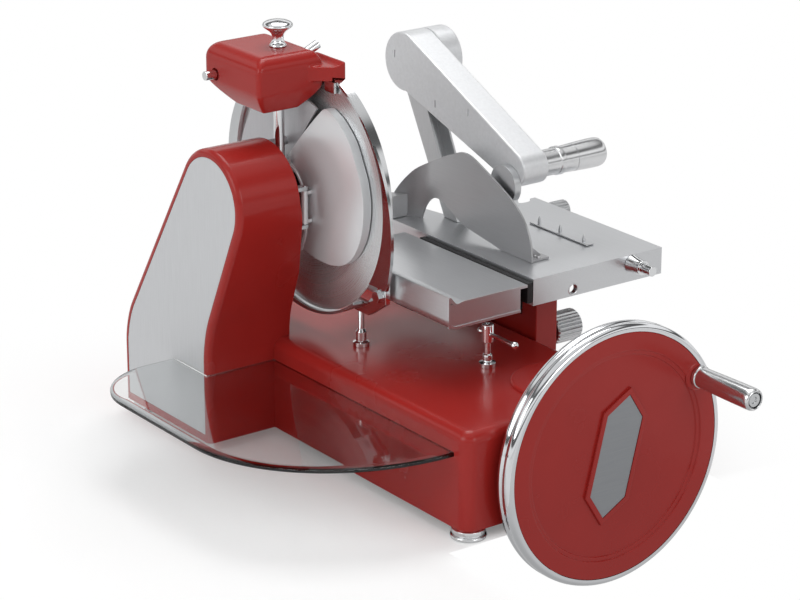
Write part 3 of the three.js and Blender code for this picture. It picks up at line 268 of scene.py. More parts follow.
# flutes round a knob as a soft wave
def flutedLine(u, v, radius, depth, count, around=8):
    total = count * around
    line = []
    for i in range(total):
        wave = math.cos(2 * math.pi * i / around)
        reach = radius - depth * (0.5 - 0.5 * wave) ** 1.6
        angle = 2 * math.pi * i / total
        line.append((u + reach * math.cos(angle), v + reach * math.sin(angle)))
    return line


def tubeAlong(points, radius, sides):
    path = bpy.data.curves.new("path", "CURVE")
    path.dimensions = "3D"
    path.bevel_depth = radius * mm
    path.bevel_resolution = sides
    path.use_fill_caps = True
    spline = path.splines.new("POLY")
    spline.points.add(len(points) - 1)
    for spot, point in zip(spline.points, points):
        spot.co = (*metres(point), 1)
    tube = bpy.data.objects.new("tube", path)
    bpy.context.scene.collection.objects.link(tube)
    pickOnly(tube)
    bpy.ops.object.convert(target="MESH")
    tube = bpy.context.object
    cleanUp(tube)
    return tube


def joinAll(piece, *others):
    pickOnly(piece)
    for other in others:
        other.select_set(True)
    bpy.ops.object.join()
    return piece


# a copy of a solid with its loose triangles merged, flat faces joined and edges rounded
def refinedCopy(node, edge, segments=2, angle=30):
    piece = bpy.data.objects.new("copied", nodes[node].data.copy())
    bpy.context.scene.collection.objects.link(piece)
    editAll(piece)
    bpy.ops.mesh.remove_doubles(threshold=0.002 * mm)
    bpy.ops.mesh.dissolve_limited(angle_limit=math.radians(0.5))
    bpy.ops.object.mode_set(mode="OBJECT")
    roundEdges(piece, edge, segments, angle)
    smooth(piece)
    return piece


camera = {"spot": (-1.7942, -2.3205, 1.3343), "turn": (70.107, 0, -36.118), "lens": 128.97,
          "shift": (0.0056, 0.0084)}


def addCamera():
    deselectAll()
    bpy.ops.object.camera_add(location=camera["spot"], rotation=[math.radians(a) for a in camera["turn"]])
    view = bpy.context.object
    view.name = "photoCamera"
    view.data.sensor_width = 36
    view.data.lens = camera["lens"]
    view.data.shift_x, view.data.shift_y = camera["shift"]
    bpy.context.scene.camera = view


# the floor is open under the flywheel, which hangs below the feet past the counter's front edge
studio = {"floorReach": 3200, "floorWhite": 0.82, "floorLift": 0.2, "openLeft": -45, "openRight": 335,
          "openBack": -23.5, "fadeCentre": (-0.06, 0.25, 0.0), "fadeNear": 0.32, "fadeFar": 0.62,
          "frontFadeX": (-0.09, -0.045), "frontFadeY": (0.0, -0.06), "skyLevel": 0.55,
          "lamps": [
              {"name": "overheadSoftbox", "spot": (0.6, 0.9, 2.6), "aim": (0.05, 0.25, 0.2), "size": 1.6,
               "watts": 26},
              {"name": "leftSoftbox", "spot": (-2.3, 0.2, 1.4), "aim": (0, 0.3, 0.2), "size": 1.5,
               "watts": 16},
              {"name": "frontSoftbox", "spot": (0.5, -2.6, 1.5), "aim": (0.1, 0.2, 0.2), "size": 1.4,
               "watts": 11},
          ],
          # height of a direction and how bright the room is there, as glossy metal sees it
          "room": [(0.0, 0.45), (0.28, 0.62), (0.5, 0.85), (0.54, 0.9), (0.56, 0.1), (0.6, 0.08),
                   (0.635, 0.95), (0.74, 1.0), (0.785, 0.12), (0.85, 0.12), (0.91, 0.85), (1.0, 0.75)]}


# a node with its settings, and its inputs filled with values or linked to other nodes' outputs
def addNode(tree, kind, inputs=None, **settings):
    node = tree.nodes.new("ShaderNode" + kind)
    for key, value in settings.items():
        setattr(node, key, value)
    for key, value in (inputs or {}).items():
        if isinstance(value, bpy.types.NodeSocket):
            tree.links.new(value, node.inputs[key])
        else:
            node.inputs[key].default_value = value
    return node


def mathNode(tree, operation, a, b, clamp=False):
    return addNode(tree, "Math", {0: a, 1: b}, operation=operation, use_clamp=clamp).outputs[0]


def addStudio():
    scene = bpy.context.scene
    scene.view_settings.view_transform = "Standard"
    world = bpy.data.worlds.new("paleRoom")
    scene.world = world
    world.use_nodes = True
    tree = world.node_tree
    tree.nodes.clear()
    path = addNode(tree, "LightPath").outputs
    split = addNode(tree, "SeparateXYZ", {0: addNode(tree, "TexCoord").outputs["Generated"]})
    height = addNode(tree, "MapRange", {"From Min": -1, "Value": split.outputs["Z"]})
    room = addNode(tree, "ValToRGB", {"Fac": height.outputs[0]})
    ramp = room.color_ramp
    ramp.interpolation = "EASE"
    while len(ramp.elements) < len(studio["room"]):
        ramp.elements.new(0.5)
    for stop, (place, level) in zip(ramp.elements, studio["room"]):
        stop.position = place
        stop.color = (level, level, level, 1)
    direct = mathNode(tree, "MAXIMUM", path["Is Camera Ray"], path["Is Transmission Ray"])
    plain = addNode(tree, "Mix", {"Factor": direct, "A": studio["skyLevel"], "B": 1.0})
    shiny = addNode(tree, "Mix", {"Factor": path["Is Glossy Ray"], "A": plain.outputs["Result"],
                                  "B": room.outputs["Color"]})
    sky = addNode(tree, "Background", {"Color": (1, 1, 1, 1), "Strength": shiny.outputs["Result"]})
    addNode(tree, "OutputWorld", {"Surface": sky.outputs[0]})
    for lamp in studio["lamps"]:
        deselectAll()
        spot, aim = Vector(lamp["spot"]), Vector(lamp["aim"])
        bpy.ops.object.light_add(type="AREA", location=spot,
                                 rotation=(aim - spot).to_track_quat("-Z", "Y").to_euler())
        light = bpy.context.object
        light.name = lamp["name"]
        light.data.size = lamp["size"]
        light.data.energy = lamp["watts"]


def addFloor(material):
    far = studio["floorReach"]
    left, right, back = studio["openLeft"], studio["openRight"], studio["openBack"]
    outline = [(-far, -far), (left, -far), (left, back), (right, back), (right, -far), (far, -far),
               (far, far), (-far, far)]
    floor = drawLine([(x, y, 0) for x, y in outline], True)
    floor.name = floor.data.name = "paleFloor"
    floor.data.materials.append(material)


print("studio")
addCamera()
addStudio()


def vectorNode(tree, operation, *values):
    node = addNode(tree, "VectorMath", dict(enumerate(values)), operation=operation)
    return node.outputs["Value" if operation == "LENGTH" else "Vector"]


def noiseNode(tree, vector, scale, detail, roughness=0.5):
    inputs = {"Vector": vector, "Scale": scale, "Detail": detail, "Roughness": roughness}
    return addNode(tree, "TexNoise", inputs).outputs["Fac"]


def newGroup(name, vectors, values, results):
    group = bpy.data.node_groups.new(name, "ShaderNodeTree")
    for kind, labels in (("NodeSocketVector", vectors), ("NodeSocketFloat", values)):
        for label in labels:
            group.interface.new_socket(name=label, in_out="INPUT", socket_type=kind)
    for label in results:
        group.interface.new_socket(name=label, in_out="OUTPUT", socket_type="NodeSocketFloat")
    return group, group.nodes.new("NodeGroupInput").outputs, group.nodes.new("NodeGroupOutput")


def giveOut(group, end, **results):
    for label, socket in results.items():
        group.links.new(socket, end.inputs[label])
    return group


# how far a noise takes the roughness away from its level
def swingOf(group, start, noise):
    return mathNode(group, "MULTIPLY", mathNode(group, "SUBTRACT", noise, 0.5), start["Spread"])


# fine parallel scratches; Stretch is small along the brushing direction, which draws the noise out
def buildBrushing():
    group, start, end = newGroup("brushing", ["Vector", "Stretch"], ["Scale", "Level", "Spread"],
                                 ["Roughness", "Height", "Tone"])
    scaled = vectorNode(group, "MULTIPLY", start["Vector"], start["Stretch"])
    fine = noiseNode(group, scaled, start["Scale"], 3, 0.6)
    broad = noiseNode(group, start["Vector"], 9, 3)
    near = mathNode(group, "ADD", start["Level"], swingOf(group, start, fine))
    total = mathNode(group, "ADD", near, swingOf(group, start, broad), True)
    return giveOut(group, end, Roughness=total, Height=fine, Tone=fine)


# faint handling marks and haze on smooth surfaces
def buildHaze():
    group, start, end = newGroup("haze", ["Vector"], ["Scale", "Level", "Spread"], ["Roughness", "Mask"])
    noise = noiseNode(group, start["Vector"], start["Scale"], 4, 0.62)
    mask = addNode(group, "MapRange", {"From Min": 0.42, "From Max": 0.68, "Value": noise}).outputs[0]
    rough = mathNode(group, "ADD", start["Level"], mathNode(group, "MULTIPLY", mask, start["Spread"]), True)
    return giveOut(group, end, Roughness=rough, Mask=mask)


# the faint waviness of sprayed and baked enamel
def buildOrangePeel():
    group, start, end = newGroup("orangePeel", ["Vector"], ["Scale"], ["Height"])
    return giveOut(group, end, Height=noiseNode(group, start["Vector"], start["Scale"], 1))


# pits and sand texture of a casting
def buildSandCast():
    group, start, end = newGroup("sandCast", ["Vector"], ["Scale"], ["Height", "Tone"])
    grit = noiseNode(group, start["Vector"], start["Scale"], 5, 0.7)
    return giveOut(group, end, Height=grit, Tone=grit)


# rings left by turning on a lathe, round Axis through Centre
def buildTurning():
    group, start, end = newGroup("turning", ["Vector", "Centre", "Axis"], ["Pitch", "Level", "Spread"],
                                 ["Roughness", "Height", "Tone"])
    away = vectorNode(group, "SUBTRACT", start["Vector"], start["Centre"])
    reach = vectorNode(group, "LENGTH", vectorNode(group, "CROSS_PRODUCT", start["Axis"], away))
    line = addNode(group, "TexNoise", {"W": reach, "Scale": start["Pitch"], "Detail": 3, "Roughness": 0.7},
                   noise_dimensions="1D").outputs["Fac"]
    total = mathNode(group, "ADD", start["Level"], swingOf(group, start, line), True)
    return giveOut(group, end, Roughness=total, Height=line, Tone=line)


groups = {"brushing": buildBrushing(), "haze": buildHaze(), "orangePeel": buildOrangePeel(),
          "sandCast": buildSandCast(), "turning": buildTurning()}


def newMaterial(name, colour, metallic, roughness, **more):
    material = bpy.data.materials.new(name)
    material.use_nodes = True
    shader = material.node_tree.nodes["Principled BSDF"]
    shader.inputs["Base Color"].default_value = (*colour, 1)
    shader.inputs["Metallic"].default_value = metallic
    shader.inputs["Roughness"].default_value = roughness
    for label, value in more.items():
        shader.inputs[label.replace("_", " ")].default_value = value
    return material, material.node_tree, shader


def useGroup(tree, name, **values):
    place = addNode(tree, "TexCoord").outputs["Object"]
    return addNode(tree, "Group", {"Vector": place, **values}, node_tree=groups[name]).outputs


def bumpFrom(tree, shader, height, distance, strength):
    bump = addNode(tree, "Bump", {"Strength": strength, "Distance": distance, "Height": height})
    tree.links.new(bump.outputs[0], shader.inputs["Normal"])


def toneBetween(tree, shader, factor, colour, low, high):
    dark, light = (*(c * low for c in colour), 1), (*(min(1, c * high) for c in colour), 1)
    mix = addNode(tree, "Mix", {"A": dark, "B": light, "Factor": factor}, data_type="RGBA")
    tree.links.new(mix.outputs["Result"], shader.inputs["Base Color"])


def enamel(name, colour, roughness):
    material, tree, shader = newMaterial(name, colour, 0.0, roughness, Specular_IOR_Level=0.26,
                                         Coat_Weight=0.08, Coat_Roughness=0.08)
    haze = useGroup(tree, "haze", Scale=7.0, Level=roughness, Spread=0.07)
    tree.links.new(haze["Roughness"], shader.inputs["Roughness"])
    bumpFrom(tree, shader, useGroup(tree, "orangePeel", Scale=380.0)["Height"], 0.00004, 0.35)
    toneBetween(tree, shader, haze["Mask"], colour, 1.0, 0.93)
    return material


def brushed(name, colour, level, spread, stretch, scale, metallic=1.0, bump=0.00002):
    material, tree, shader = newMaterial(name, colour, metallic, level)
    lines = useGroup(tree, "brushing", Stretch=stretch, Scale=scale, Level=level, Spread=spread)
    tree.links.new(lines["Roughness"], shader.inputs["Roughness"])
    toneBetween(tree, shader, lines["Tone"], colour, 0.9, 1.08)
    bumpFrom(tree, shader, lines["Height"], bump, 0.4)
    return material


def polished(name, colour, level, spread=0.05):
    material, tree, shader = newMaterial(name, colour, 1.0, level)
    haze = useGroup(tree, "haze", Scale=22.0, Level=level, Spread=spread)
    tree.links.new(haze["Roughness"], shader.inputs["Roughness"])
    toneBetween(tree, shader, haze["Mask"], colour, 1.0, 0.95)
    return material


# rings round the X axis through a centre, which the highlights follow too
def turnedMetal(name, colour, level, spread, centre, anisotropic, bump=0.00001, metallic=1.0):
    material, tree, shader = newMaterial(name, colour, metallic, level, Anisotropic=anisotropic)
    axis, centre = axisOf["X"], metres(centre)
    rings = useGroup(tree, "turning", Centre=centre, Axis=axis, Pitch=1400.0, Level=level, Spread=spread)
    away = vectorNode(tree, "SUBTRACT", addNode(tree, "TexCoord").outputs["Object"], centre)
    tree.links.new(vectorNode(tree, "CROSS_PRODUCT", axis, away), shader.inputs["Tangent"])
    tree.links.new(rings["Roughness"], shader.inputs["Roughness"])
    toneBetween(tree, shader, rings["Tone"], colour, 0.97, 1.03)
    bumpFrom(tree, shader, rings["Height"], bump, 0.3)
    return material


def gritty(name, colour, roughness, metallic=0.4, scale=300.0, bump=(0.0002, 0.5), tones=(0.8, 1.2)):
    material, tree, shader = newMaterial(name, colour, metallic, roughness)
    grit = useGroup(tree, "sandCast", Scale=scale)
    bumpFrom(tree, shader, grit["Height"], *bump)
    toneBetween(tree, shader, grit["Tone"], colour, *tones)
    return material


def clearGlass(name, colour):
    material, tree, shader = newMaterial(name, colour, 0.0, 0.0, Transmission_Weight=1.0, IOR=1.5)
    haze = useGroup(tree, "haze", Scale=5.0, Level=0.0, Spread=0.02)
    tree.links.new(haze["Roughness"], shader.inputs["Roughness"])
    return material


print("materials")
bladeY, bladeZ = 367, 310
bladeAt = (0, bladeY, bladeZ)
domeCentre = (0, 346, 318)
alongY, alongZ = (1.0, 0.03, 1.0), (1.0, 1.0, 0.05)
redEnamel = enamel("redEnamel", (0.37, 0.021, 0.017), 0.22)
plateSilver = brushed("plateSilver", (0.64, 0.65, 0.665), 0.48, 0.04, (1.0, 1.0, 0.03), 700.0, 0.35)
badgeSilver = brushed("badgeSilver", (0.30, 0.31, 0.325), 0.5, 0.06, (0.03, 1.0, 1.0), 700.0, 0.5)
guardSilver = brushed("guardSilver", (0.50, 0.50, 0.51), 0.36, 0.1, alongY, 800.0, 0.9)
tableMetal = brushed("tableAluminium", (0.66, 0.67, 0.685), 0.34, 0.12, (1.0, 0.02, 1.0), 1100.0)
trayMetal = brushed("trayAluminium", (0.66, 0.67, 0.685), 0.3, 0.05, alongY, 1100.0, 0.85, 0.000008)
armMetal = brushed("armAluminium", (0.76, 0.77, 0.785), 0.4, 0.05, (0.5, 0.5, 0.5), 500.0, 0.55, 0.00001)
coverGrey = brushed("coverGrey", (0.55, 0.56, 0.58), 0.42, 0.06, alongZ, 700.0, 0.5)
postSilver = brushed("postSilver", (0.66, 0.67, 0.68), 0.42, 0.04, alongZ, 700.0, 0.5)
chrome = polished("chrome", (0.80, 0.81, 0.82), 0.05, 0.03)
rimChrome = polished("rimChrome", (0.76, 0.77, 0.79), 0.07, 0.04)
satinChrome = polished("satinChrome", (0.76, 0.765, 0.775), 0.2, 0.06)
softChrome = polished("softChrome", (0.80, 0.81, 0.82), 0.13, 0.03)
steel = polished("polishedSteel", (0.6, 0.61, 0.62), 0.16, 0.08)
knobMetal = polished("knobAluminium", (0.62, 0.63, 0.64), 0.3, 0.06)
bronze = polished("bronze", (0.45, 0.26, 0.09), 0.3)
bladeSteel = turnedMetal("bladeSteel", (0.66, 0.67, 0.68), 0.28, 0.08, bladeAt, 0.4, 0.000005, 0.8)
domeSteel = turnedMetal("deflectorSteel", (0.79, 0.81, 0.825), 0.3, 0.05, domeCentre, 0.3, 0.000004, 0.42)
guardMetal = turnedMetal("guardAluminium", (0.62, 0.63, 0.64), 0.3, 0.08, bladeAt, 0.4)
guardMirror = turnedMetal("guardPolished", (0.62, 0.63, 0.64), 0.13, 0.06, bladeAt, 0.3)
darkSteel = gritty("darkSteel", (0.1, 0.105, 0.11), 0.5, 0.8)
castGrey = gritty("primedCasting", (0.1, 0.1, 0.105), 0.55)
stoneGrit = gritty("grindingStone", (0.26, 0.23, 0.19), 0.9, 0.0)
gasket = gritty("gasket", (0.006, 0.006, 0.007), 0.5, 0.0, 900.0, (0.00005, 0.3), (0.7, 1.3))
glass = clearGlass("trayGlass", (0.86, 0.88, 0.88))


# white far away and past the counter's front, and shaded by the object near it
def buildPaper():
    s = studio
    pale = (s["floorWhite"],) * 3
    material, tree, shader = newMaterial("palePaper", pale, 0.0, 0.9, Specular_IOR_Level=0.0)
    place = addNode(tree, "TexCoord").outputs["Object"]
    path = addNode(tree, "LightPath").outputs
    split = addNode(tree, "SeparateXYZ", {0: place}).outputs

    def fade(value, near, far):
        return addNode(tree, "MapRange", {"Value": value, "From Min": near, "From Max": far},
                       interpolation_type="SMOOTHSTEP").outputs[0]

    reach = vectorNode(tree, "LENGTH", vectorNode(tree, "SUBTRACT", place, s["fadeCentre"]))
    front = mathNode(tree, "MULTIPLY", fade(split["X"], *s["frontFadeX"]), fade(split["Y"], *s["frontFadeY"]))
    white = mathNode(tree, "MAXIMUM", fade(reach, s["fadeNear"], s["fadeFar"]), front)
    seen = mathNode(tree, "MAXIMUM", path["Is Camera Ray"], path["Is Transmission Ray"])
    lift = addNode(tree, "Emission", {"Strength": mathNode(tree, "MULTIPLY", seen, s["floorLift"])})
    both = addNode(tree, "AddShader", {0: shader.outputs[0], 1: lift.outputs[0]})
    mix = addNode(tree, "MixShader", {0: mathNode(tree, "MULTIPLY", seen, white), 1: both.outputs[0],
                                      2: addNode(tree, "Emission").outputs[0]})
    tree.links.new(mix.outputs[0], tree.nodes["Material Output"].inputs["Surface"])
    return material


addFloor(buildPaper())

bySlot = {"red_paint": redEnamel, "silver_paint": plateSilver, "aluminium": armMetal, "steel": steel,
          "chrome": chrome, "dark_steel": darkSteel, "cast": castGrey, "bronze": bronze, "black": gasket,
          "glass": glass, "stone": stoneGrit}
slotOf = {part["node"]: part["material_slot"] for part in frame["record"]["subparts"]}
bodyOf = {node: body for body, members in frame["record"]["behaviour"]["bodies"].items() for node in members}
made = set()


# a finished piece takes over from the solid of its node
def stand(piece, node, material=None):
    made.add(node)
    piece.name = piece.data.name = node + ".look"
    piece.data.materials.clear()
    piece.data.materials.append(material or bySlot[slotOf[node]])
    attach(piece, bodyOf[node])
    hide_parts(node)


# merged corners, softened edges and smooth shading, then the node's place
def finishPiece(piece, node, material=None, angle=32, soft=0, steps=2, edgeAngle=30):
    cleanUp(piece)
    if soft:
        roundEdges(piece, soft, steps, edgeAngle)
    smooth(piece, angle)
    stand(piece, node, material)


def turnedPiece(node, axis, centre, profile, steps, angle, material=None):
    piece = spinProfile(axis, centre, profile, steps)
    smooth(piece, angle)
    stand(piece, node, material)


print("base")
base = {"low": (-16, -16, 12), "high": (242, 556, 130), "corner": 16.5, "fillet": 14, "wall": 6, "roof": 7,
        "gap": 0.3, "roomLow": 8, "roomCorner": 10, "roomFillet": 3, "padX": 173, "padHalf": 60,
        "padFront": -11, "padCentre": 50, "padRoot": 120, "padTop": 134, "padSoft": 3.2,
        "slot": ((220, 226, 62), (250, 514, 78)), "groove": ((-20, 6.7, 97.7), (-13, 368, 103.3)),
        "wheelAxis": (173, 0, 70), "crossAxis": (0, 470, 70), "bore": 20.3, "boreEnds": (-20, -6)}


def roundedBlock(low, high, corner, fillet, segments=8):
    block = blockOf(low, high)
    roundWhere(block, corner, segments, lambda a, b: abs(a.z - b.z) > 1)
    roundWhere(block, fillet, segments, lambda a, b: min(a.z, b.z) > high[2] - 0.01)
    return block


def buildBase():
    b = base
    wall, top = b["wall"], b["high"][2]
    shell = roundedBlock(b["low"], b["high"], b["corner"], b["fillet"])
    padLine = [(b["padX"] - b["padHalf"], b["padFront"]), (b["padX"] + b["padHalf"], b["padFront"])]
    padLine += arcPoints(b["padX"], b["padCentre"], b["padHalf"], 0, 180, 40)
    pad = pushOutline("Z", padLine, b["padRoot"], b["padTop"])
    roundWhere(pad, b["padSoft"], 5, lambda p, q: min(p.z, q.z) > b["padTop"] - 0.01)
    combine(shell, pad, "UNION")
    roomLow = (b["low"][0] + wall, b["low"][1] + wall, b["roomLow"])
    roomHigh = (b["high"][0] - wall, b["high"][1] - wall, top - b["roof"])
    combine(shell, roundedBlock(roomLow, roomHigh, b["roomCorner"], b["roomFillet"], 4))
    combine(shell, blockOf(*b["groove"]))
    combine(shell, blockOf(*b["slot"]))
    bore(shell, "Y", b["wheelAxis"], b["bore"], *b["boreEnds"])
    bore(shell, "X", b["crossAxis"], b["bore"], *b["boreEnds"])
    finishPiece(shell, "base_casting", angle=25)


# one turned foot, copied to its four places
foot = {"at": {"foot_front_left": (0, 0), "foot_front_right": (226, 0), "foot_rear_left": (-88, 536),
               "foot_rear_right": (226, 540)},
        "line": [(0, 0), (0, 18.5), (0.6, 20.3), (2, 21), (3.6, 21), (4.6, 20.2), (5, 19), (5.2, 17.8),
                 (6.1, 17.6), (6.4, 18.4), (7.2, 19.3), (8.6, 19.5), (10.6, 19.5), (11.4, 19.1), (11.7, 18.4),
                 (11.7, 0)]}


def buildFeet():
    first = spinProfile("Z", (0, 0, 0), foot["line"], 72)
    smooth(first, 40)
    for node, (x, y) in foot["at"].items():
        stand(copyTo(first, (x, y, 0)), node)
    bpy.data.objects.remove(first)


tower = {"left": -110, "front": 364, "rear": 556, "bottom": 12, "knee": 145, "kink": 121, "kneeSoft": 30,
         "kneeBand": (105, 165), "topY": 353, "topZ": 320, "topRadius": 64, "edge": 7, "rightEdge": 4,
         "rebate": 9, "rebateDepth": 2.8, "plate": 2.5, "plateSoft": 0.5, "wall": 14, "reach": (200, 600),
         "bodyRight": 20, "roomRight": -2, "crossEnds": (-60, -5),
         "right": [(6, 130), (-2, 221), (-26, 320), (-30, 400)],
         "inside": [(-119, 12), (-24, 12), (-24, 138), (-4, 138), (-10, 221), (-34, 320), (-38, 400),
                    (-119, 400)],
         "groove": ((-114, 355, 97.7), (-12, 367, 103.3)), "sleeve": (bladeAt, 22.3, -72, 12)}


# the tower's side outline moved inwards and pushed along X, with its knees rounded
def towerSlab(shrink, start, end):
    t = tower
    front = touchAngle(t["front"], t["knee"], t["topY"], t["topZ"], t["topRadius"], -1) + 360
    rear = touchAngle(t["rear"], t["kink"], t["topY"], t["topZ"], t["topRadius"], 1)
    line = [(t["front"], t["bottom"]), (t["rear"], t["bottom"]), (t["rear"], t["kink"])]
    line += arcPoints(t["topY"], t["topZ"], t["topRadius"], rear, front, 56) + [(t["front"], t["knee"])]
    slab = pushOutline("X", inset(line, shrink) if shrink else line, start, end)
    low, high = t["kneeBand"]
    roundWhere(slab, t["kneeSoft"], 6,
               lambda p, q: low < min(p.z, q.z) and max(p.z, q.z) < high and abs(p.x - q.x) > 1)
    return slab


# how far the tower's right face lies to the right at a height
def towerRightAt(z):
    for (x0, z0), (x1, z1) in zip(tower["right"], tower["right"][1:]):
        if z <= z1:
            return x0 + (x1 - x0) * (z - z0) / (z1 - z0)
    return tower["right"][-1][0]


def buildTower():
    t = tower
    grow = base["gap"]
    past = t["left"] - 4
    shoulder = t["right"][0][1]
    body = towerSlab(0, t["left"], t["bodyRight"])
    side = [(past - 1, 5), (6, 5)] + t["right"] + [(past - 1, 400)]
    combine(body, pushOutline("Y", side, *t["reach"]), "INTERSECT")
    roundWhere(body, t["edge"], 6,
               lambda p, q: max(p.x, q.x) < t["left"] + 0.01 and max(p.z, q.z) > t["bottom"] + 0.01)

    def fromRight(p):
        return min(abs(p.x - x0 - (x1 - x0) * (p.z - z0) / (z1 - z0))
                   for (x0, z0), (x1, z1) in zip(t["right"], t["right"][1:]))

    def onRightEdge(p, q):
        across = abs(p.z - q.z) < 0.01 and abs(p.y - q.y) > 30
        return min(p.z, q.z) > shoulder + 1 and max(fromRight(p), fromRight(q)) < 0.02 and not across

    roundWhere(body, t["rightEdge"], 4, onRightEdge)
    low = [v - grow for v in base["low"][:2]] + [0]
    high = [v + grow for v in base["high"]]
    combine(body, roundedBlock(low, high, base["corner"] + grow, base["fillet"] + grow))
    combine(body, towerSlab(t["rebate"], past, t["left"] + t["rebateDepth"]))
    inner = towerSlab(t["wall"], past, t["roomRight"])
    combine(inner, pushOutline("Y", t["inside"], *t["reach"]), "INTERSECT")
    combine(body, inner)
    combine(body, blockOf(*t["groove"]))
    bore(body, "X", *t["sleeve"])
    bore(body, "X", base["crossAxis"], base["bore"], *t["crossEnds"])
    finishPiece(body, "tower_housing", angle=25)
    plate = towerSlab(t["rebate"] + grow, t["left"], t["left"] + t["plate"])
    finishPiece(plate, "tower_plate", plateSilver, soft=t["plateSoft"])


buildBase()
buildFeet()
buildTower()

print("glass tray")
tray = {"top": 103, "thickness": 5, "right": -13.3, "tip": 7, "left": -236, "sideY": 195, "cornerY": 354,
        "rear": 442, "wallY": 366.7, "towerSide": -110.3, "centreX": -16, "bevel": 11, "drop": 1.8,
        "edge": 0.5}


def buildTray():
    t = tray
    corner = t["rear"] - t["cornerY"]
    reach = t["centreX"] - t["left"]
    outline = [(t["right"], t["tip"]), (t["right"], t["wallY"]), (t["towerSide"], t["wallY"]),
               (t["towerSide"], t["rear"])]
    outline += arcPoints(t["left"] + corner, t["cornerY"], corner, 90, 180, 24)
    outline += [(t["centreX"] + reach * math.cos(a), t["sideY"] + (t["sideY"] - t["tip"]) * math.sin(a))
                for a in (math.pi * (1 + 0.5 * i / 90) for i in range(91))]
    sheet = pushOutline("Z", outline, t["top"] - t["thickness"], t["top"] - t["drop"])
    editAll(sheet)
    bpy.ops.mesh.select_mode(type="FACE")
    bpy.ops.mesh.select_all(action="DESELECT")
    bpy.ops.object.mode_set(mode="OBJECT")
    for face in sheet.data.polygons:
        face.select = face.normal.z > 0.9
    bpy.ops.object.mode_set(mode="EDIT")
    bpy.ops.mesh.inset(thickness=t["bevel"] * mm, use_even_offset=True)
    bpy.ops.transform.translate(value=(0, 0, t["drop"] * mm))
    bpy.ops.object.mode_set(mode="OBJECT")

    # the straight sides against the base and the tower keep no bevel
    def onTop(p, axis, edge):
        return p.z > t["top"] - 0.01 and abs(p[axis] - (edge - t["bevel"])) < 0.05

    b = t["bevel"]
    moveWhere(sheet, (b, 0, 0), lambda p: onTop(p, 0, t["right"]))
    moveWhere(sheet, (0, b, 0), lambda p: onTop(p, 1, t["wallY"]) and p.x > t["towerSide"] - b - 1)
    moveWhere(sheet, (b, 0, 0), lambda p: onTop(p, 0, t["towerSide"]) and p.y > t["wallY"] - b - 1)
    roundWhere(sheet, t["edge"], 2, lambda p, q: abs(p.z - q.z) < 0.01 and p.z < t["top"] - 0.01)
    finishPiece(sheet, "slice_tray", angle=25)


buildTray()

print("flywheel")
wheel = {"x": base["wheelAxis"][0], "z": base["wheelAxis"][2],
         "disc": [(-46, 12.3), (-46, 119.6), (-46.4, 120.8), (-47.7, 121.6), (-48, 122.6), (-48, 125),
                  (-48.3, 125.8), (-49.6, 126.6), (-50, 127.8), (-50, 146.9), (-49.7, 147.6), (-49, 148),
                  (-29, 148), (-28, 147), (-28, 134), (-29, 133), (-38, 128), (-38, 37), (-36.6, 35.4),
                  (-23, 30), (-22, 29), (-22, 12.3), (-46, 12.3)],
         "rim": [(-50, 148.3), (-50, 150.6), (-49.6, 152.6), (-48.5, 154.5), (-46.8, 156), (-44.6, 156.8),
                 (-42.4, 157), (-41.2, 156.6), (-40.2, 155.8), (-38, 155.4), (-35.8, 155.8), (-34.8, 156.6),
                 (-33.6, 157), (-31.4, 156.8), (-29.2, 156), (-27.5, 154.5), (-26.4, 152.6), (-26, 150.6),
                 (-26, 148.3), (-50, 148.3)],
         "boss": [(-49, 0), (-49, 18), (-50, 17.4), (-50.7, 16.4), (-51.3, 14.8), (-51.6, 13), (-51.6, 0)],
         "bossLimit": (147.2, -60, -40), "pinRoom": (6.3, -60, -37.7)}
badge = {"halfWidth": 27, "halfHeight": 74, "point": 26, "tilt": -14, "gap": 0.3, "y": (-48.8, -46.3),
         "soft": 0.4, "frame": 6, "frameY": (-49.6, -45), "frameSoft": 1.3, "roomY": (-52, -40)}
crank = {"reach": 139, "angle": 31, "start": -52, "bore": 7, "boreEnd": 87,
         "line": [(0, 11.4), (0.5, 12.9), (1.4, 13.4), (4.4, 13.4), (5.3, 13), (5.9, 12.2), (20, 12.5),
                  (45, 13), (70, 13.4), (86, 13.5), (90, 13.3), (92.4, 12.6), (93.6, 11.5), (94, 10.5),
                  (93.5, 9.9), (91.5, 9.6), (87, 9.4)],
         "pin": [(-38, 0), (-38, 6), (-140.8, 6), (-140.8, 8.2), (-141.3, 8.5), (-143.6, 8.5), (-144.7, 7.9),
                 (-145, 6.9), (-144.2, 4.4), (-142.6, 3.4), (-142.6, 0)]}


# where the crank's pin stands on the wheel
def pinPlace():
    angle = math.radians(crank["angle"])
    return (wheel["x"] + crank["reach"] * math.cos(angle), 0, wheel["z"] + crank["reach"] * math.sin(angle))


def badgeLine():
    wide, high = badge["halfWidth"], badge["halfHeight"]
    straight = high - badge["point"]
    turn = math.radians(badge["tilt"])
    cos, sin = math.cos(turn), math.sin(turn)
    corners = [(wide, -straight), (wide, straight), (0, high), (-wide, straight), (-wide, -straight),
               (0, -high)]
    return [(wheel["x"] + u * cos - v * sin, wheel["z"] + u * sin + v * cos) for u, v in corners]


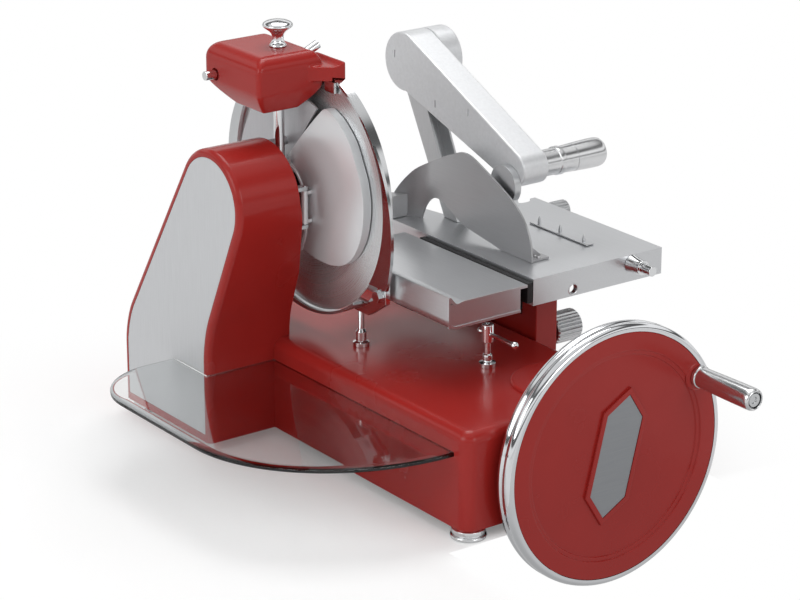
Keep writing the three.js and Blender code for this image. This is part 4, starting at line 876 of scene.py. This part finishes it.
def buildWheel():
    w, b = wheel, badge
    centre = (w["x"], 0, w["z"])
    disc = spinProfile("Y", centre, w["disc"], 144)
    boss = spinProfile("Y", pinPlace(), w["boss"])
    combine(boss, rodOf("Y", centre, *w["bossLimit"], 144), "INTERSECT")
    combine(disc, boss, "UNION")
    frameRing = pushOutline("Y", inset(badgeLine(), -b["frame"]), *b["frameY"])
    roundWhere(frameRing, b["frameSoft"], 4, lambda p, q: max(p.y, q.y) < b["frameY"][0] + 0.1)
    combine(frameRing, pushOutline("Y", badgeLine(), *b["roomY"]))
    combine(disc, frameRing, "UNION")
    bore(disc, "Y", pinPlace(), *w["pinRoom"])
    finishPiece(disc, "flywheel_disc", angle=25)
    finishPiece(pushOutline("Y", inset(badgeLine(), b["gap"]), *b["y"]), "wheel_badge", badgeSilver,
                soft=b["soft"])
    turnedPiece("flywheel_rim", "Y", centre, w["rim"], 160, 50, rimChrome)


def buildCrank():
    c = crank
    outside = [(c["start"] - along, r) for along, r in [(0, c["bore"])] + c["line"]]
    inside = [(c["start"] - c["boreEnd"], c["bore"]), (c["start"], c["bore"])]
    turnedPiece("crank_grip", "Y", pinPlace(), outside + inside, 64, 40, satinChrome)
    turnedPiece("crank_pin", "Y", pinPlace(), c["pin"], 48, 35)


buildWheel()
buildCrank()

print("blade and guards")
seam = 0.3  # between two pieces that meet
bladeLine = [(27, 12.3), (27, 59), (27.2, 61), (34, 117), (34.3, 119), (41.4, 149.9), (41.7, 150),
             (42, 149.9), (37.5, 119), (37.1, 117), (30.3, 61), (30.2, 59), (30.2, 12.3), (27, 12.3)]
capLine = [(30.5, 0), (30.5, 21.6), (30.9, 22), (35.4, 21.8), (37.2, 20.8), (38.5, 18.8), (39, 16), (39, 9.5),
           (38.2, 8.8), (38.2, 0)]


def buildBlade():
    turnedPiece("blade", "X", bladeAt, bladeLine, 160, 20, bladeSteel)
    turnedPiece("blade_cap", "X", bladeAt, capLine, 72, 35)


guard = {"room": 151.5, "cutX": (30, 60), "x": (38, 50), "sides": 180, "centre": (380, 283), "sheet": 181,
         "sheetX": (38, 42), "body": 166, "band": 155, "soft": 0.9,
         "sector": [(190, 222), (307, 222), (322, 343), (322, 470), (190, 470)]}


# the front guard: a thin sheet with a thicker body and a band beside the blade, cut to its sector
def buildFrontGuard():
    g = guard
    ring = pushOutline("X", arcPoints(*g["centre"], g["sheet"], 0, 358, 179), *g["sheetX"])
    for centre, radius in (((0, *g["centre"]), g["body"]), (bladeAt, g["band"])):
        combine(ring, rodOf("X", centre, radius, *g["x"], g["sides"]), "UNION")
    bore(ring, "X", bladeAt, g["room"], *g["cutX"], g["sides"])
    combine(ring, pushOutline("X", g["sector"], *g["cutX"]), "INTERSECT")
    finishPiece(ring, "guard_ring", guardMirror, 35, g["soft"], 3, 40)


# the line gives an angle and how far the rear guard reaches past the blade's edge there
rearGuard = {"x": (36.3, 49), "from": -128, "to": 93, "blade": 150, "soft": 0.8,
             "line": [(93, 5), (80, 6.5), (60, 10), (45, 13), (32, 16), (12, 20), (-10, 21), (-30, 19),
                      (-50, 14), (-70, 9), (-90, 6), (-110, 5), (-128, 5)],
             "stand": (527.5, 280), "standRadius": 7, "standEnd": 36.6}


def buildRearGuard():
    g = rearGuard
    outer = []
    for degrees, past in softLine(g["line"], 8):
        reach, turn = g["blade"] + past, math.radians(degrees)
        outer.append((bladeY + reach * math.cos(turn), bladeZ + reach * math.sin(turn)))
    inner = arcPoints(bladeY, bladeZ, guard["room"], g["from"], g["to"], 96)
    rear = pushOutline("X", outer + inner, *g["x"])
    y, z = g["stand"]
    combine(rear, rodOf("X", (0, y, z), g["standRadius"], towerRightAt(z) + seam, g["standEnd"], 32), "UNION")
    finishPiece(rear, "rear_guard", guardMetal, 35, g["soft"], 3, 40)


cover = {"corner": (383, 339.5), "radius": 119, "from": 12, "to": 113, "x": (19.5, 22), "hole": (32, 10, 30),
         "bosses": [(402, 336), (386, 366)], "bossRadius": 5, "bossEnd": 19.8, "soft": 0.4}


def buildCover():
    c = cover
    fan = [c["corner"]] + arcPoints(bladeY, bladeZ, c["radius"], c["from"], c["to"], 60)
    sheet = pushOutline("X", fan, *c["x"])
    bore(sheet, "X", bladeAt, *c["hole"], 64)
    for y, z in c["bosses"]:
        boss = rodOf("X", (0, y, z), c["bossRadius"], towerRightAt(z) + seam, c["bossEnd"], 24)
        combine(sheet, boss, "UNION")
    finishPiece(sheet, "blade_cover", coverGrey, 35, c["soft"], 2, 40)


deflector = {"centre": domeCentre, "left": 9, "dome": 17, "domeRadius": 115, "reach": 122, "sheet": 1.6,
             "edgeStart": 0.2, "edgeDepth": 14, "cutX": (5, 50), "roomX": (0, 60),
             "edgePart": ((0, 200, 200), (60, 322, 430)), "flangeRoom": 28.5, "soft": 0.5,
             "clear": [(25.6, 0), (25.6, 60), (32.6, 118), (40, 150), (40, 175), (90, 175), (90, 0)],
             "outline": [(371, 350), (320, 412), (309, 421), (290, 414), (275, 403), (262, 390), (252, 373),
                         (240, 347), (235, 318), (239, 287), (249, 264), (262, 248), (278, 238), (300, 234),
                         (325, 236), (349, 242), (339, 258), (332, 276), (331, 296), (335, 320), (347, 336)],
             "lip": 2.1, "lipStart": (351, 240), "lipEnd": (368, 348)}


def domeAt(r):
    d = deflector
    ball = (d["domeRadius"] ** 2 + d["dome"] ** 2) / (2 * d["dome"])
    return d["left"] + ball - math.sqrt(ball * ball - r * r)


def domeShell(start, end):
    reach = [deflector["reach"] * i / 20 for i in range(21)]
    line = [(domeAt(r) + start, r) for r in reach] + [(domeAt(r) + end, r) for r in reversed(reach)]
    return spinProfile("X", deflector["centre"], line, 96)


# the shell of the deflector with its turned edge and rolled lip, and its knuckle
def buildDeflector():
    d = deflector
    corners = d["outline"]
    outline = [corners[0]] + softLine(corners[1:16], 5) + softLine(corners[15:] + corners[:1], 5)[1:-1]
    dome = domeShell(0, d["sheet"])
    combine(dome, pushOutline("X", outline, *d["cutX"]), "INTERSECT")
    edge = domeShell(d["edgeStart"], d["edgeDepth"])
    combine(edge, pushOutline("X", outline, *d["cutX"]), "INTERSECT")
    combine(edge, pushOutline("X", inset(outline, d["sheet"]), *d["roomX"]))
    combine(edge, blockOf(*d["edgePart"]), "INTERSECT")
    combine(edge, spinProfile("X", bladeAt, d["clear"], 128))
    combine(dome, edge, "UNION")
    bore(dome, "X", bladeAt, d["flangeRoom"], *d["roomX"])
    cleanUp(dome)
    roundEdges(dome, d["soft"], 2, 50)
    cy, cz = d["centre"][1:]
    lipSpots = softLine([d["lipStart"]] + corners[16:] + [d["lipEnd"]])
    lip = tubeAlong([(domeAt(math.hypot(y - cy, z - cz)), y, z) for y, z in lipSpots], d["lip"], 5)
    joinAll(dome, buildKnuckle(), lip)
    smooth(dome, 35)
    stand(dome, "deflector", domeSteel)


hinge = {"pin": (2, 322), "low": 277, "high": 329, "lug": 5, "lugHalf": 5, "lugSoft": 0.5, "gap": 0.6,
         "barrel": 4.3, "room": (3.3, 260, 340), "barrelSoft": 0.3, "tabRight": 10.6, "tabY": (319, 321),
         "tabHeight": 4, "tabMargin": 1, "pinLine": [(277.2, 0), (277.2, 3), (329.4, 3), (329.4, 0)]}


# the deflector's barrel between the lugs, with two tabs to the shell
def buildKnuckle():
    h = hinge
    x, y = h["pin"]
    front, back = h["tabY"]
    low, high = h["low"] + h["lug"] + h["gap"], h["high"] - h["lug"] - h["gap"]
    barrel = rodOf("Z", (x, y, 0), h["barrel"], low, high, 32)
    for z in (low + h["tabMargin"], high - h["tabMargin"] - h["tabHeight"]):
        combine(barrel, blockOf((x, front, z), (h["tabRight"], back, z + h["tabHeight"])), "UNION")
    bore(barrel, "Z", (x, y, 0), *h["room"], 32)
    roundEdges(barrel, h["barrelSoft"], 2, 50)
    return barrel


# the pin and the two lugs that hold it to the tower's leaning side
def buildHinge():
    h = hinge
    x, y = h["pin"]
    half = h["lugHalf"]
    lugs = []
    for z in (h["low"], h["high"] - h["lug"]):
        root = towerRightAt(z) + seam
        side = [(root, y - half)] + arcPoints(x, y, half, -90, 90, 12) + [(root, y + half)]
        lugs.append(pushOutline("Z", side, z, z + h["lug"]))
        roundEdges(lugs[-1], h["lugSoft"], 2, 50)
    pin = spinProfile("Z", (x, y, 0), h["pinLine"], 32)
    joinAll(pin, *lugs)
    smooth(pin, 35)
    stand(pin, "deflector_bracket")


buildBlade()
buildFrontGuard()
buildRearGuard()
buildCover()
buildDeflector()
buildHinge()

print("sharpener")
head = {"shoulder": ((-55, 328), (35.5, 446)), "top": ((-38, 343), (20, 430)), "foot": ((-42, 338), (6, 398)),
        "low": 444, "rise": 468, "peak": 486, "bottom": 419.5, "back": 9, "soft": 5, "rings": 7,
        "footBulge": 1.35, "noseFrom": 451, "stepY": (290, 470), "voxel": 1.2, "rounds": 8,
        "noseLine": [(-10, 340), (6, 331), (18, 325.5), (28, 318), (36, 311.6), (44, 308.4), (52, 308),
                     (52, 336), (52, 364), (44, 366), (20, 366), (-10, 360)],
        "step": [(-30, 468.5), (20, 468.5), (34, 468.3), (40, 468.6), (45, 470.4), (49, 473), (52.5, 474),
                 (60, 474), (60, 500), (-30, 500)],
        "rod": (0, 370, 0), "rodRoom": (6.8, 400, 458.3), "axleRoom": (5.8, -70, -35),
        "axleRing": (7.6, -70, -51.5), "bladeRoom": (156.5, 36, 51), "stone": (0, 341, 455),
        "stoneRoom": (10.25, 36, 51), "spindleRoom": (3.3, 48, 60)}
axle = {"centre": (0, 420, 451), "rod": (5.5, -70, -47), "soft": 0.8}
stub = {"foot": (24, 350, 479), "tilt": 66, "room": (5.8, -10.3, 50), "rod": (5.5, -10, 20),
        "hollow": (3.6, 12, 25), "soft": 0.4}
sharpenerKnob = {"at": (2, 373, 0), "foot": 486.3,
                 "line": [(0, 0), (0, 9.4), (0.5, 10), (1.8, 10), (3, 9), (5, 7.6), (8, 6.9), (12, 6.9),
                          (15, 7.8), (17.6, 9.9), (20, 13), (22, 15.8), (23.6, 17.4), (25, 18), (26.6, 17.7),
                          (28.3, 16), (29.7, 13), (30.8, 9), (31.6, 4.6), (32, 0)]}


# grows the picked end of the head ring by ring from the shoulder's rectangle towards another
def growHead(body, outward, target, height, share):
    h = head
    (x0, y0), (x1, y1) = h["shoulder"]
    (u0, v0), (u1, v1) = target
    middleX, middleY = (x0 + x1) / 2, (y0 + y1) / 2
    last = (0.0, 1.0, 1.0, middleX, middleY)
    editAll(body)
    bpy.ops.mesh.select_mode(type="FACE")
    bpy.ops.mesh.select_all(action="DESELECT")
    bpy.ops.object.mode_set(mode="OBJECT")
    for face in body.data.polygons:
        face.select = face.normal.z * outward > 0.9
    bpy.ops.object.mode_set(mode="EDIT")
    for k in range(1, h["rings"] + 1):
        up, part = share(k / h["rings"])
        sx, sy = 1 + part * ((u1 - u0) / (x1 - x0) - 1), 1 + part * ((v1 - v0) / (y1 - y0) - 1)
        cx, cy = middleX + part * ((u0 + u1) / 2 - middleX), middleY + part * ((v0 + v1) / 2 - middleY)
        z = (h["rise"] if outward > 0 else h["low"]) + outward * height * up
        step = metres((cx - last[3], cy - last[4], outward * height * (up - last[0])))
        bpy.ops.mesh.extrude_region_move(TRANSFORM_OT_translate={"value": step})
        bpy.ops.transform.resize(value=(sx / last[1], sy / last[2], 1), center_override=metres((cx, cy, z)))
        last = (up, sx, sy, cx, cy)
    bpy.ops.object.mode_set(mode="OBJECT")


# a rod along the stub, which leans to the right
def tiltedRod(radius, start, end, vertices):
    lean = math.radians(stub["tilt"])
    middle = Vector(stub["foot"]) + Vector((math.sin(lean), 0, math.cos(lean))) * (start + end) / 2
    deselectAll()
    bpy.ops.mesh.primitive_cylinder_add(vertices=vertices, radius=radius * mm, depth=(end - start) * mm,
                                        location=middle * mm, rotation=(0, lean, 0))
    placeMesh()
    return bpy.context.object


# one soft casting: its rounded block and its nose are melted together before the rooms are cut
def buildHead():
    h = head
    (x0, y0), (x1, y1) = h["shoulder"]
    body = blockOf((x0, y0, h["low"]), (x1, y1, h["rise"]))
    roundWhere(body, h["back"], 8, lambda a, b: abs(a.z - b.z) > 1 and a.x < x0 + 1 and a.y > y1 - 1)
    roundWhere(body, h["soft"], 4, lambda a, b: abs(a.z - b.z) > 1 and (a.y < y0 + 1 or a.x > x1 - 1))
    growHead(body, 1, h["top"], h["peak"] - h["rise"],
             lambda t: (math.sin(t * math.pi / 2), 1 - math.cos(t * math.pi / 2)))
    growHead(body, -1, h["foot"], h["low"] - h["bottom"], lambda t: (t, t ** h["footBulge"]))
    cleanUp(body)
    nose = pushOutline("Z", softLine(h["noseLine"], 4, True), h["noseFrom"], h["peak"])
    combine(nose, pushOutline("Y", h["step"], *h["stepY"]))
    combine(body, nose, "UNION")
    addModifier(body, "REMESH", mode="VOXEL", voxel_size=h["voxel"] * mm)
    addModifier(body, "SMOOTH", factor=0.5, iterations=h["rounds"])
    bore(body, "Z", h["rod"], *h["rodRoom"])
    bore(body, "X", axle["centre"], *h["axleRoom"])
    bore(body, "X", axle["centre"], *h["axleRing"])
    combine(body, tiltedRod(*stub["room"], 32))
    bore(body, "X", bladeAt, *h["bladeRoom"], 128)
    bore(body, "X", h["stone"], *h["stoneRoom"])
    bore(body, "X", h["stone"], *h["spindleRoom"])
    finishPiece(body, "sharpener_head", angle=42)


def buildHeadFittings():
    k = sharpenerKnob
    knobLine = [(k["foot"] + up, r) for up, r in k["line"]]
    turnedPiece("sharpener_knob", "Z", k["at"], knobLine, 72, 40, softChrome)
    tube = tiltedRod(*stub["rod"], 48)
    combine(tube, tiltedRod(*stub["hollow"], 48))
    finishPiece(tube, "sharpener_stub", soft=stub["soft"])
    finishPiece(rodOf("X", axle["centre"], *axle["rod"]), "sharpener_axle", soft=axle["soft"], steps=3)


buildHead()
buildHeadFittings()

print("carriage and table")
gauge = {"front": 119, "rear": 360, "endPlate": ((62.5, 120.2, 197.5), (166, 123.2, 226)), "soft": 0.45,
         "sheet": [(61, 208), (61.4, 204.5), (63, 200.6), (66, 197.4), (70, 196), (166, 196), (166, 199),
                   (71.2, 199), (67.8, 200.2), (65.4, 202.8), (64, 208), (64, 229), (71, 223.2), (76, 223.2),
                   (79.5, 224.6), (175.6, 224.6), (175.6, 228), (84, 228), (79, 227.4), (75, 226.2),
                   (71.6, 226.6), (64.2, 235.2), (62.6, 236), (61.4, 235.4), (61, 234)]}
rubber = {"low": (176, 119.5, 204), "high": (183.6, 330, 229), "soft": 0.8}


def buildGauge():
    folded = pushOutline("Y", gauge["sheet"], gauge["front"], gauge["rear"])
    combine(folded, blockOf(*gauge["endPlate"]), "UNION")
    finishPiece(folded, "carriage_tray", trayMetal, 35, gauge["soft"], 2, 35)
    finishPiece(blockOf(rubber["low"], rubber["high"]), "sealing_strip", soft=rubber["soft"], steps=3)


table = {"edge": 1.1, "seat": 233.3, "port": (244, 0, 208.6),
         "ring": [(119.5, 5.4), (118.7, 5.6), (118.4, 6.2), (118.5, 7), (119, 7.4), (119.5, 7.4),
                  (119.5, 5.4)]}


# the solid's table with softened edges and a raised ring round its port
def buildTable():
    top = refinedCopy("meat_table", table["edge"], 3, 35)
    joinAll(top, spinProfile("Y", table["port"], table["ring"], 40))
    smooth(top, 35)
    stand(top, "meat_table", tableMetal)


# heights on a spike are above the table
spikes = {"x": 315, "ys": [186, 231, 271], "half": 6, "margin": 12, "thick": 2, "soft": 0.8,
          "line": [(1, 0), (1, 2.2), (5, 2.1), (9, 1.3), (11.7, 0.2), (11.7, 0)]}


def buildSpikes():
    s = spikes
    x, seat, first = s["x"], table["seat"], s["ys"][0]
    strip = blockOf((x - s["half"], first - s["margin"], seat),
                    (x + s["half"], s["ys"][-1] + s["margin"], seat + s["thick"]))
    roundEdges(strip, s["soft"], 3)
    spike = spinProfile("Z", (x, first, 0), [(seat + up, r) for up, r in s["line"]], 20)
    others = [copyTo(spike, (0, y - first, 0)) for y in s["ys"][1:]]
    joinAll(strip, spike, *others)
    smooth(strip, 35)
    stand(strip, "spike_strip", tableMetal)


fence = {"left": 217.5, "thick": 2.5, "bendY": 362, "endX": 189, "endY": 419, "front": 163, "top": 340.5,
         "cutX": (150, 260), "soft": 0.35, "toe": ((219, 166), (245, 180)), "toeThick": 2.5, "toeHeight": 22,
         "outline": [(419, 240), (409, 266), (397, 285), (382, 299), (350, 316), (317, 331), (299, 336.3),
                     (281, 334.6), (254, 324), (222, 310), (197, 296), (179, 279), (168, 259), (164.4, 240)],
         "outlineEnds": [(419.5, 230), (164.2, 230)],
         "arch": [(378, 236), (373, 249), (366, 258.5), (356, 264.5), (345, 265.4), (334, 261.8), (318, 254),
                  (302, 247.4), (286, 243.4), (268, 240.6), (250, 238), (234, 235.6), (222, 233)],
         "archEnds": [(379, 225), (222, 225)], "screws": [(232, 170), (232, 176.6)],
         "slot": (3, 0.35, 1.2, 3),
         "screwLine": [(-0.5, 0), (-0.5, 2.7), (0.6, 2.7), (1.5, 2.2), (1.9, 1.2), (1.9, 0)]}


def buildGuardPlate():
    f = fence
    seat, thick = table["seat"], f["thick"]
    bend, length = f["left"] - f["endX"], f["endY"] - f["bendY"]
    path = [(f["left"] - bend * (i / 24) ** 2, f["bendY"] + length * i / 24) for i in range(25)]
    plan = [(f["left"], f["front"]), (f["left"] + thick, f["front"])]
    plan += [(x + thick, y) for x, y in path] + list(reversed(path))
    sheet = pushOutline("Z", plan, seat, f["top"])
    for line, ends, steps, operation in ((f["outline"], f["outlineEnds"], 6, "INTERSECT"),
                                         (f["arch"], f["archEnds"], 5, "DIFFERENCE")):
        cut = [ends[0]] + softLine(line, steps) + [ends[1]]
        combine(sheet, pushOutline("X", cut, *f["cutX"]), operation)
    (x0, y0), (x1, y1) = f["toe"]
    top = seat + f["toeThick"]
    flat = blockOf((f["left"] + 1, y0, seat), (x1, y1, top))
    web = [(x0, seat), (x1, seat), (x0, seat + f["toeHeight"])]
    combine(flat, pushOutline("Y", web, y1 - f["toeThick"], y1), "UNION")
    combine(sheet, flat, "UNION")
    cleanUp(sheet)
    roundEdges(sheet, f["soft"], 2, 40)
    x, y = f["screws"][0]
    half, narrow, low, high = f["slot"]
    screw = spinProfile("Z", (x, y, 0), [(top + up, r) for up, r in f["screwLine"]], 24)
    combine(screw, blockOf((x - half, y - narrow, top + low), (x + half, y + narrow, top + high)))
    others = [copyTo(screw, (u - x, v - y, 0)) for u, v in f["screws"][1:]]
    joinAll(sheet, screw, *others)
    smooth(sheet, 35)
    stand(sheet, "guard_plate", guardSilver)


arm = {"left": 234, "right": 272, "skin": 3, "pivot": (445, 415), "pivotRadius": 37, "heel": 26,
       "end": (222, 331), "endRadius": 21, "soft": 2.4, "wedgeReach": 89, "wedgeFrom": 210, "wedgeTo": 332,
       "slots": [(460.6, 422.3), (377.1, 376.5), (311, 380.7)], "slotHalf": (1.1, 4.4), "slotDepth": 1.2,
       "pinRoom": (6.3, 266, 277)}


def buildArm():
    a = arm
    left, right, skin = a["left"], a["right"], a["skin"]
    (py, pz), (ey, ez) = a["pivot"], a["end"]
    away = math.degrees(math.atan2(ez - pz, ey - py))
    lean = math.degrees(math.acos((a["pivotRadius"] - a["endRadius"]) / math.hypot(ey - py, ez - pz)))
    side = arcPoints(py, pz, a["pivotRadius"], away + lean - a["heel"], away + 360 - lean, 44)
    side += arcPoints(ey, ez, a["endRadius"], away - lean, away + lean, 30)
    bar = pushOutline("X", side, left, right)
    roundWhere(bar, a["soft"], 5, lambda p, q: abs(p.x - q.x) < 0.01)
    inside = inset(capsule(py, pz, a["pivotRadius"], ey, ez, a["endRadius"], 20), skin)
    room = pushOutline("X", inside, left + skin, right - skin)
    wedge = [(py, pz)] + arcPoints(py, pz, a["wedgeReach"], a["wedgeFrom"], a["wedgeTo"], 16)
    combine(room, pushOutline("X", wedge, left + skin, right - skin), "UNION")
    combine(bar, room)
    bore(bar, "X", (0, py, pz), *a["pinRoom"])
    half, tall = a["slotHalf"]
    for y, z in a["slots"]:
        combine(bar, blockOf((left - 1, y - half, z - tall), (left + a["slotDepth"], y + half, z + tall)))
    finishPiece(bar, "press_arm", armMetal, 30)


# places along the hub's and the grip's lines start at the arm's right face
hub = {"pin": (6, 237.3, 273),
       "line": [(0.3, 0), (0.3, 36), (1.3, 37), (26, 37), (27.4, 36.6), (28.5, 35.6), (29, 34), (29, 0)]}
armGrip = [(0, 0), (0, 15.4), (0.5, 16), (22.8, 16.2), (23.3, 17), (24, 17.5), (29.4, 17.6), (30.2, 17.2),
           (30.6, 16.4), (31.4, 16.3), (46, 16.9), (48.6, 17), (48.9, 16.3), (49.5, 16.3), (49.8, 17.1),
           (62, 17.6), (76, 18), (86, 17.9), (90.6, 17.2), (92.8, 15.9), (93.7, 14), (93.7, 12.6), (92.9, 12),
           (92.9, 0)]


def buildHubAndGrip():
    pivot = (0, *arm["pivot"])
    turned = spinProfile("X", pivot, [(arm["right"] + along, r) for along, r in hub["line"]], 96)
    combine(turned, rodOf("X", pivot, *hub["pin"]), "UNION")
    finishPiece(turned, "arm_hub", armMetal, 30)
    gripLine = [(arm["right"] + seam + along, r) for along, r in armGrip]
    turnedPiece("arm_grip", "X", (0, *arm["end"]), gripLine, 72, 35, satinChrome)


flutes = {"thickness_knob": {"centre": (202, 126), "radius": 19.5, "depth": 1.8, "count": 24, "start": 277.5,
                             "end": 315, "spindle": (6, 248)},
          "feed_screw": {"centre": (330, 222), "radius": 12.5, "depth": 1.3, "count": 18, "start": 381.3,
                         "end": 404.3, "spindle": (6, 232)}}


def buildFluted():
    for node, f in flutes.items():
        centre, radius, start, end = (0, *f["centre"]), f["radius"], f["start"], f["end"]
        wave = flutedLine(*f["centre"], radius, f["depth"], f["count"], 6)
        knob = pushOutline("X", wave, start, end)
        shape = [(start, 0), (start, radius - 2), (start + 2, radius), (end - 2.4, radius),
                 (end - 0.8, radius - 0.8), (end, radius - 2.6), (end, radius * 0.55),
                 (end - 1, radius * 0.5), (end - 1, 0)]
        combine(knob, spinProfile("X", centre, shape, 72), "INTERSECT")
        combine(knob, rodOf("X", centre, *f["spindle"], start + 1, 32), "UNION")
        finishPiece(knob, node, knobMetal)


buildGauge()
buildTable()
buildSpikes()
buildGuardPlate()
buildArm()
buildHubAndGrip()
buildFluted()

print("remaining pieces")
nodeLooks = {
    "carriage_wall": (redEnamel, 1.5), "guard_block": (guardSilver, 0.8), "arm_post": (postSilver, 0.8),
    "press_foot": (knobMetal, 0.6), "guard_post": (chrome, 0.5),
}
for node in nodes:
    if node not in made:
        material, edge = nodeLooks.get(node, (None, 0.4))
        stand(refinedCopy(node, edge), node, material)
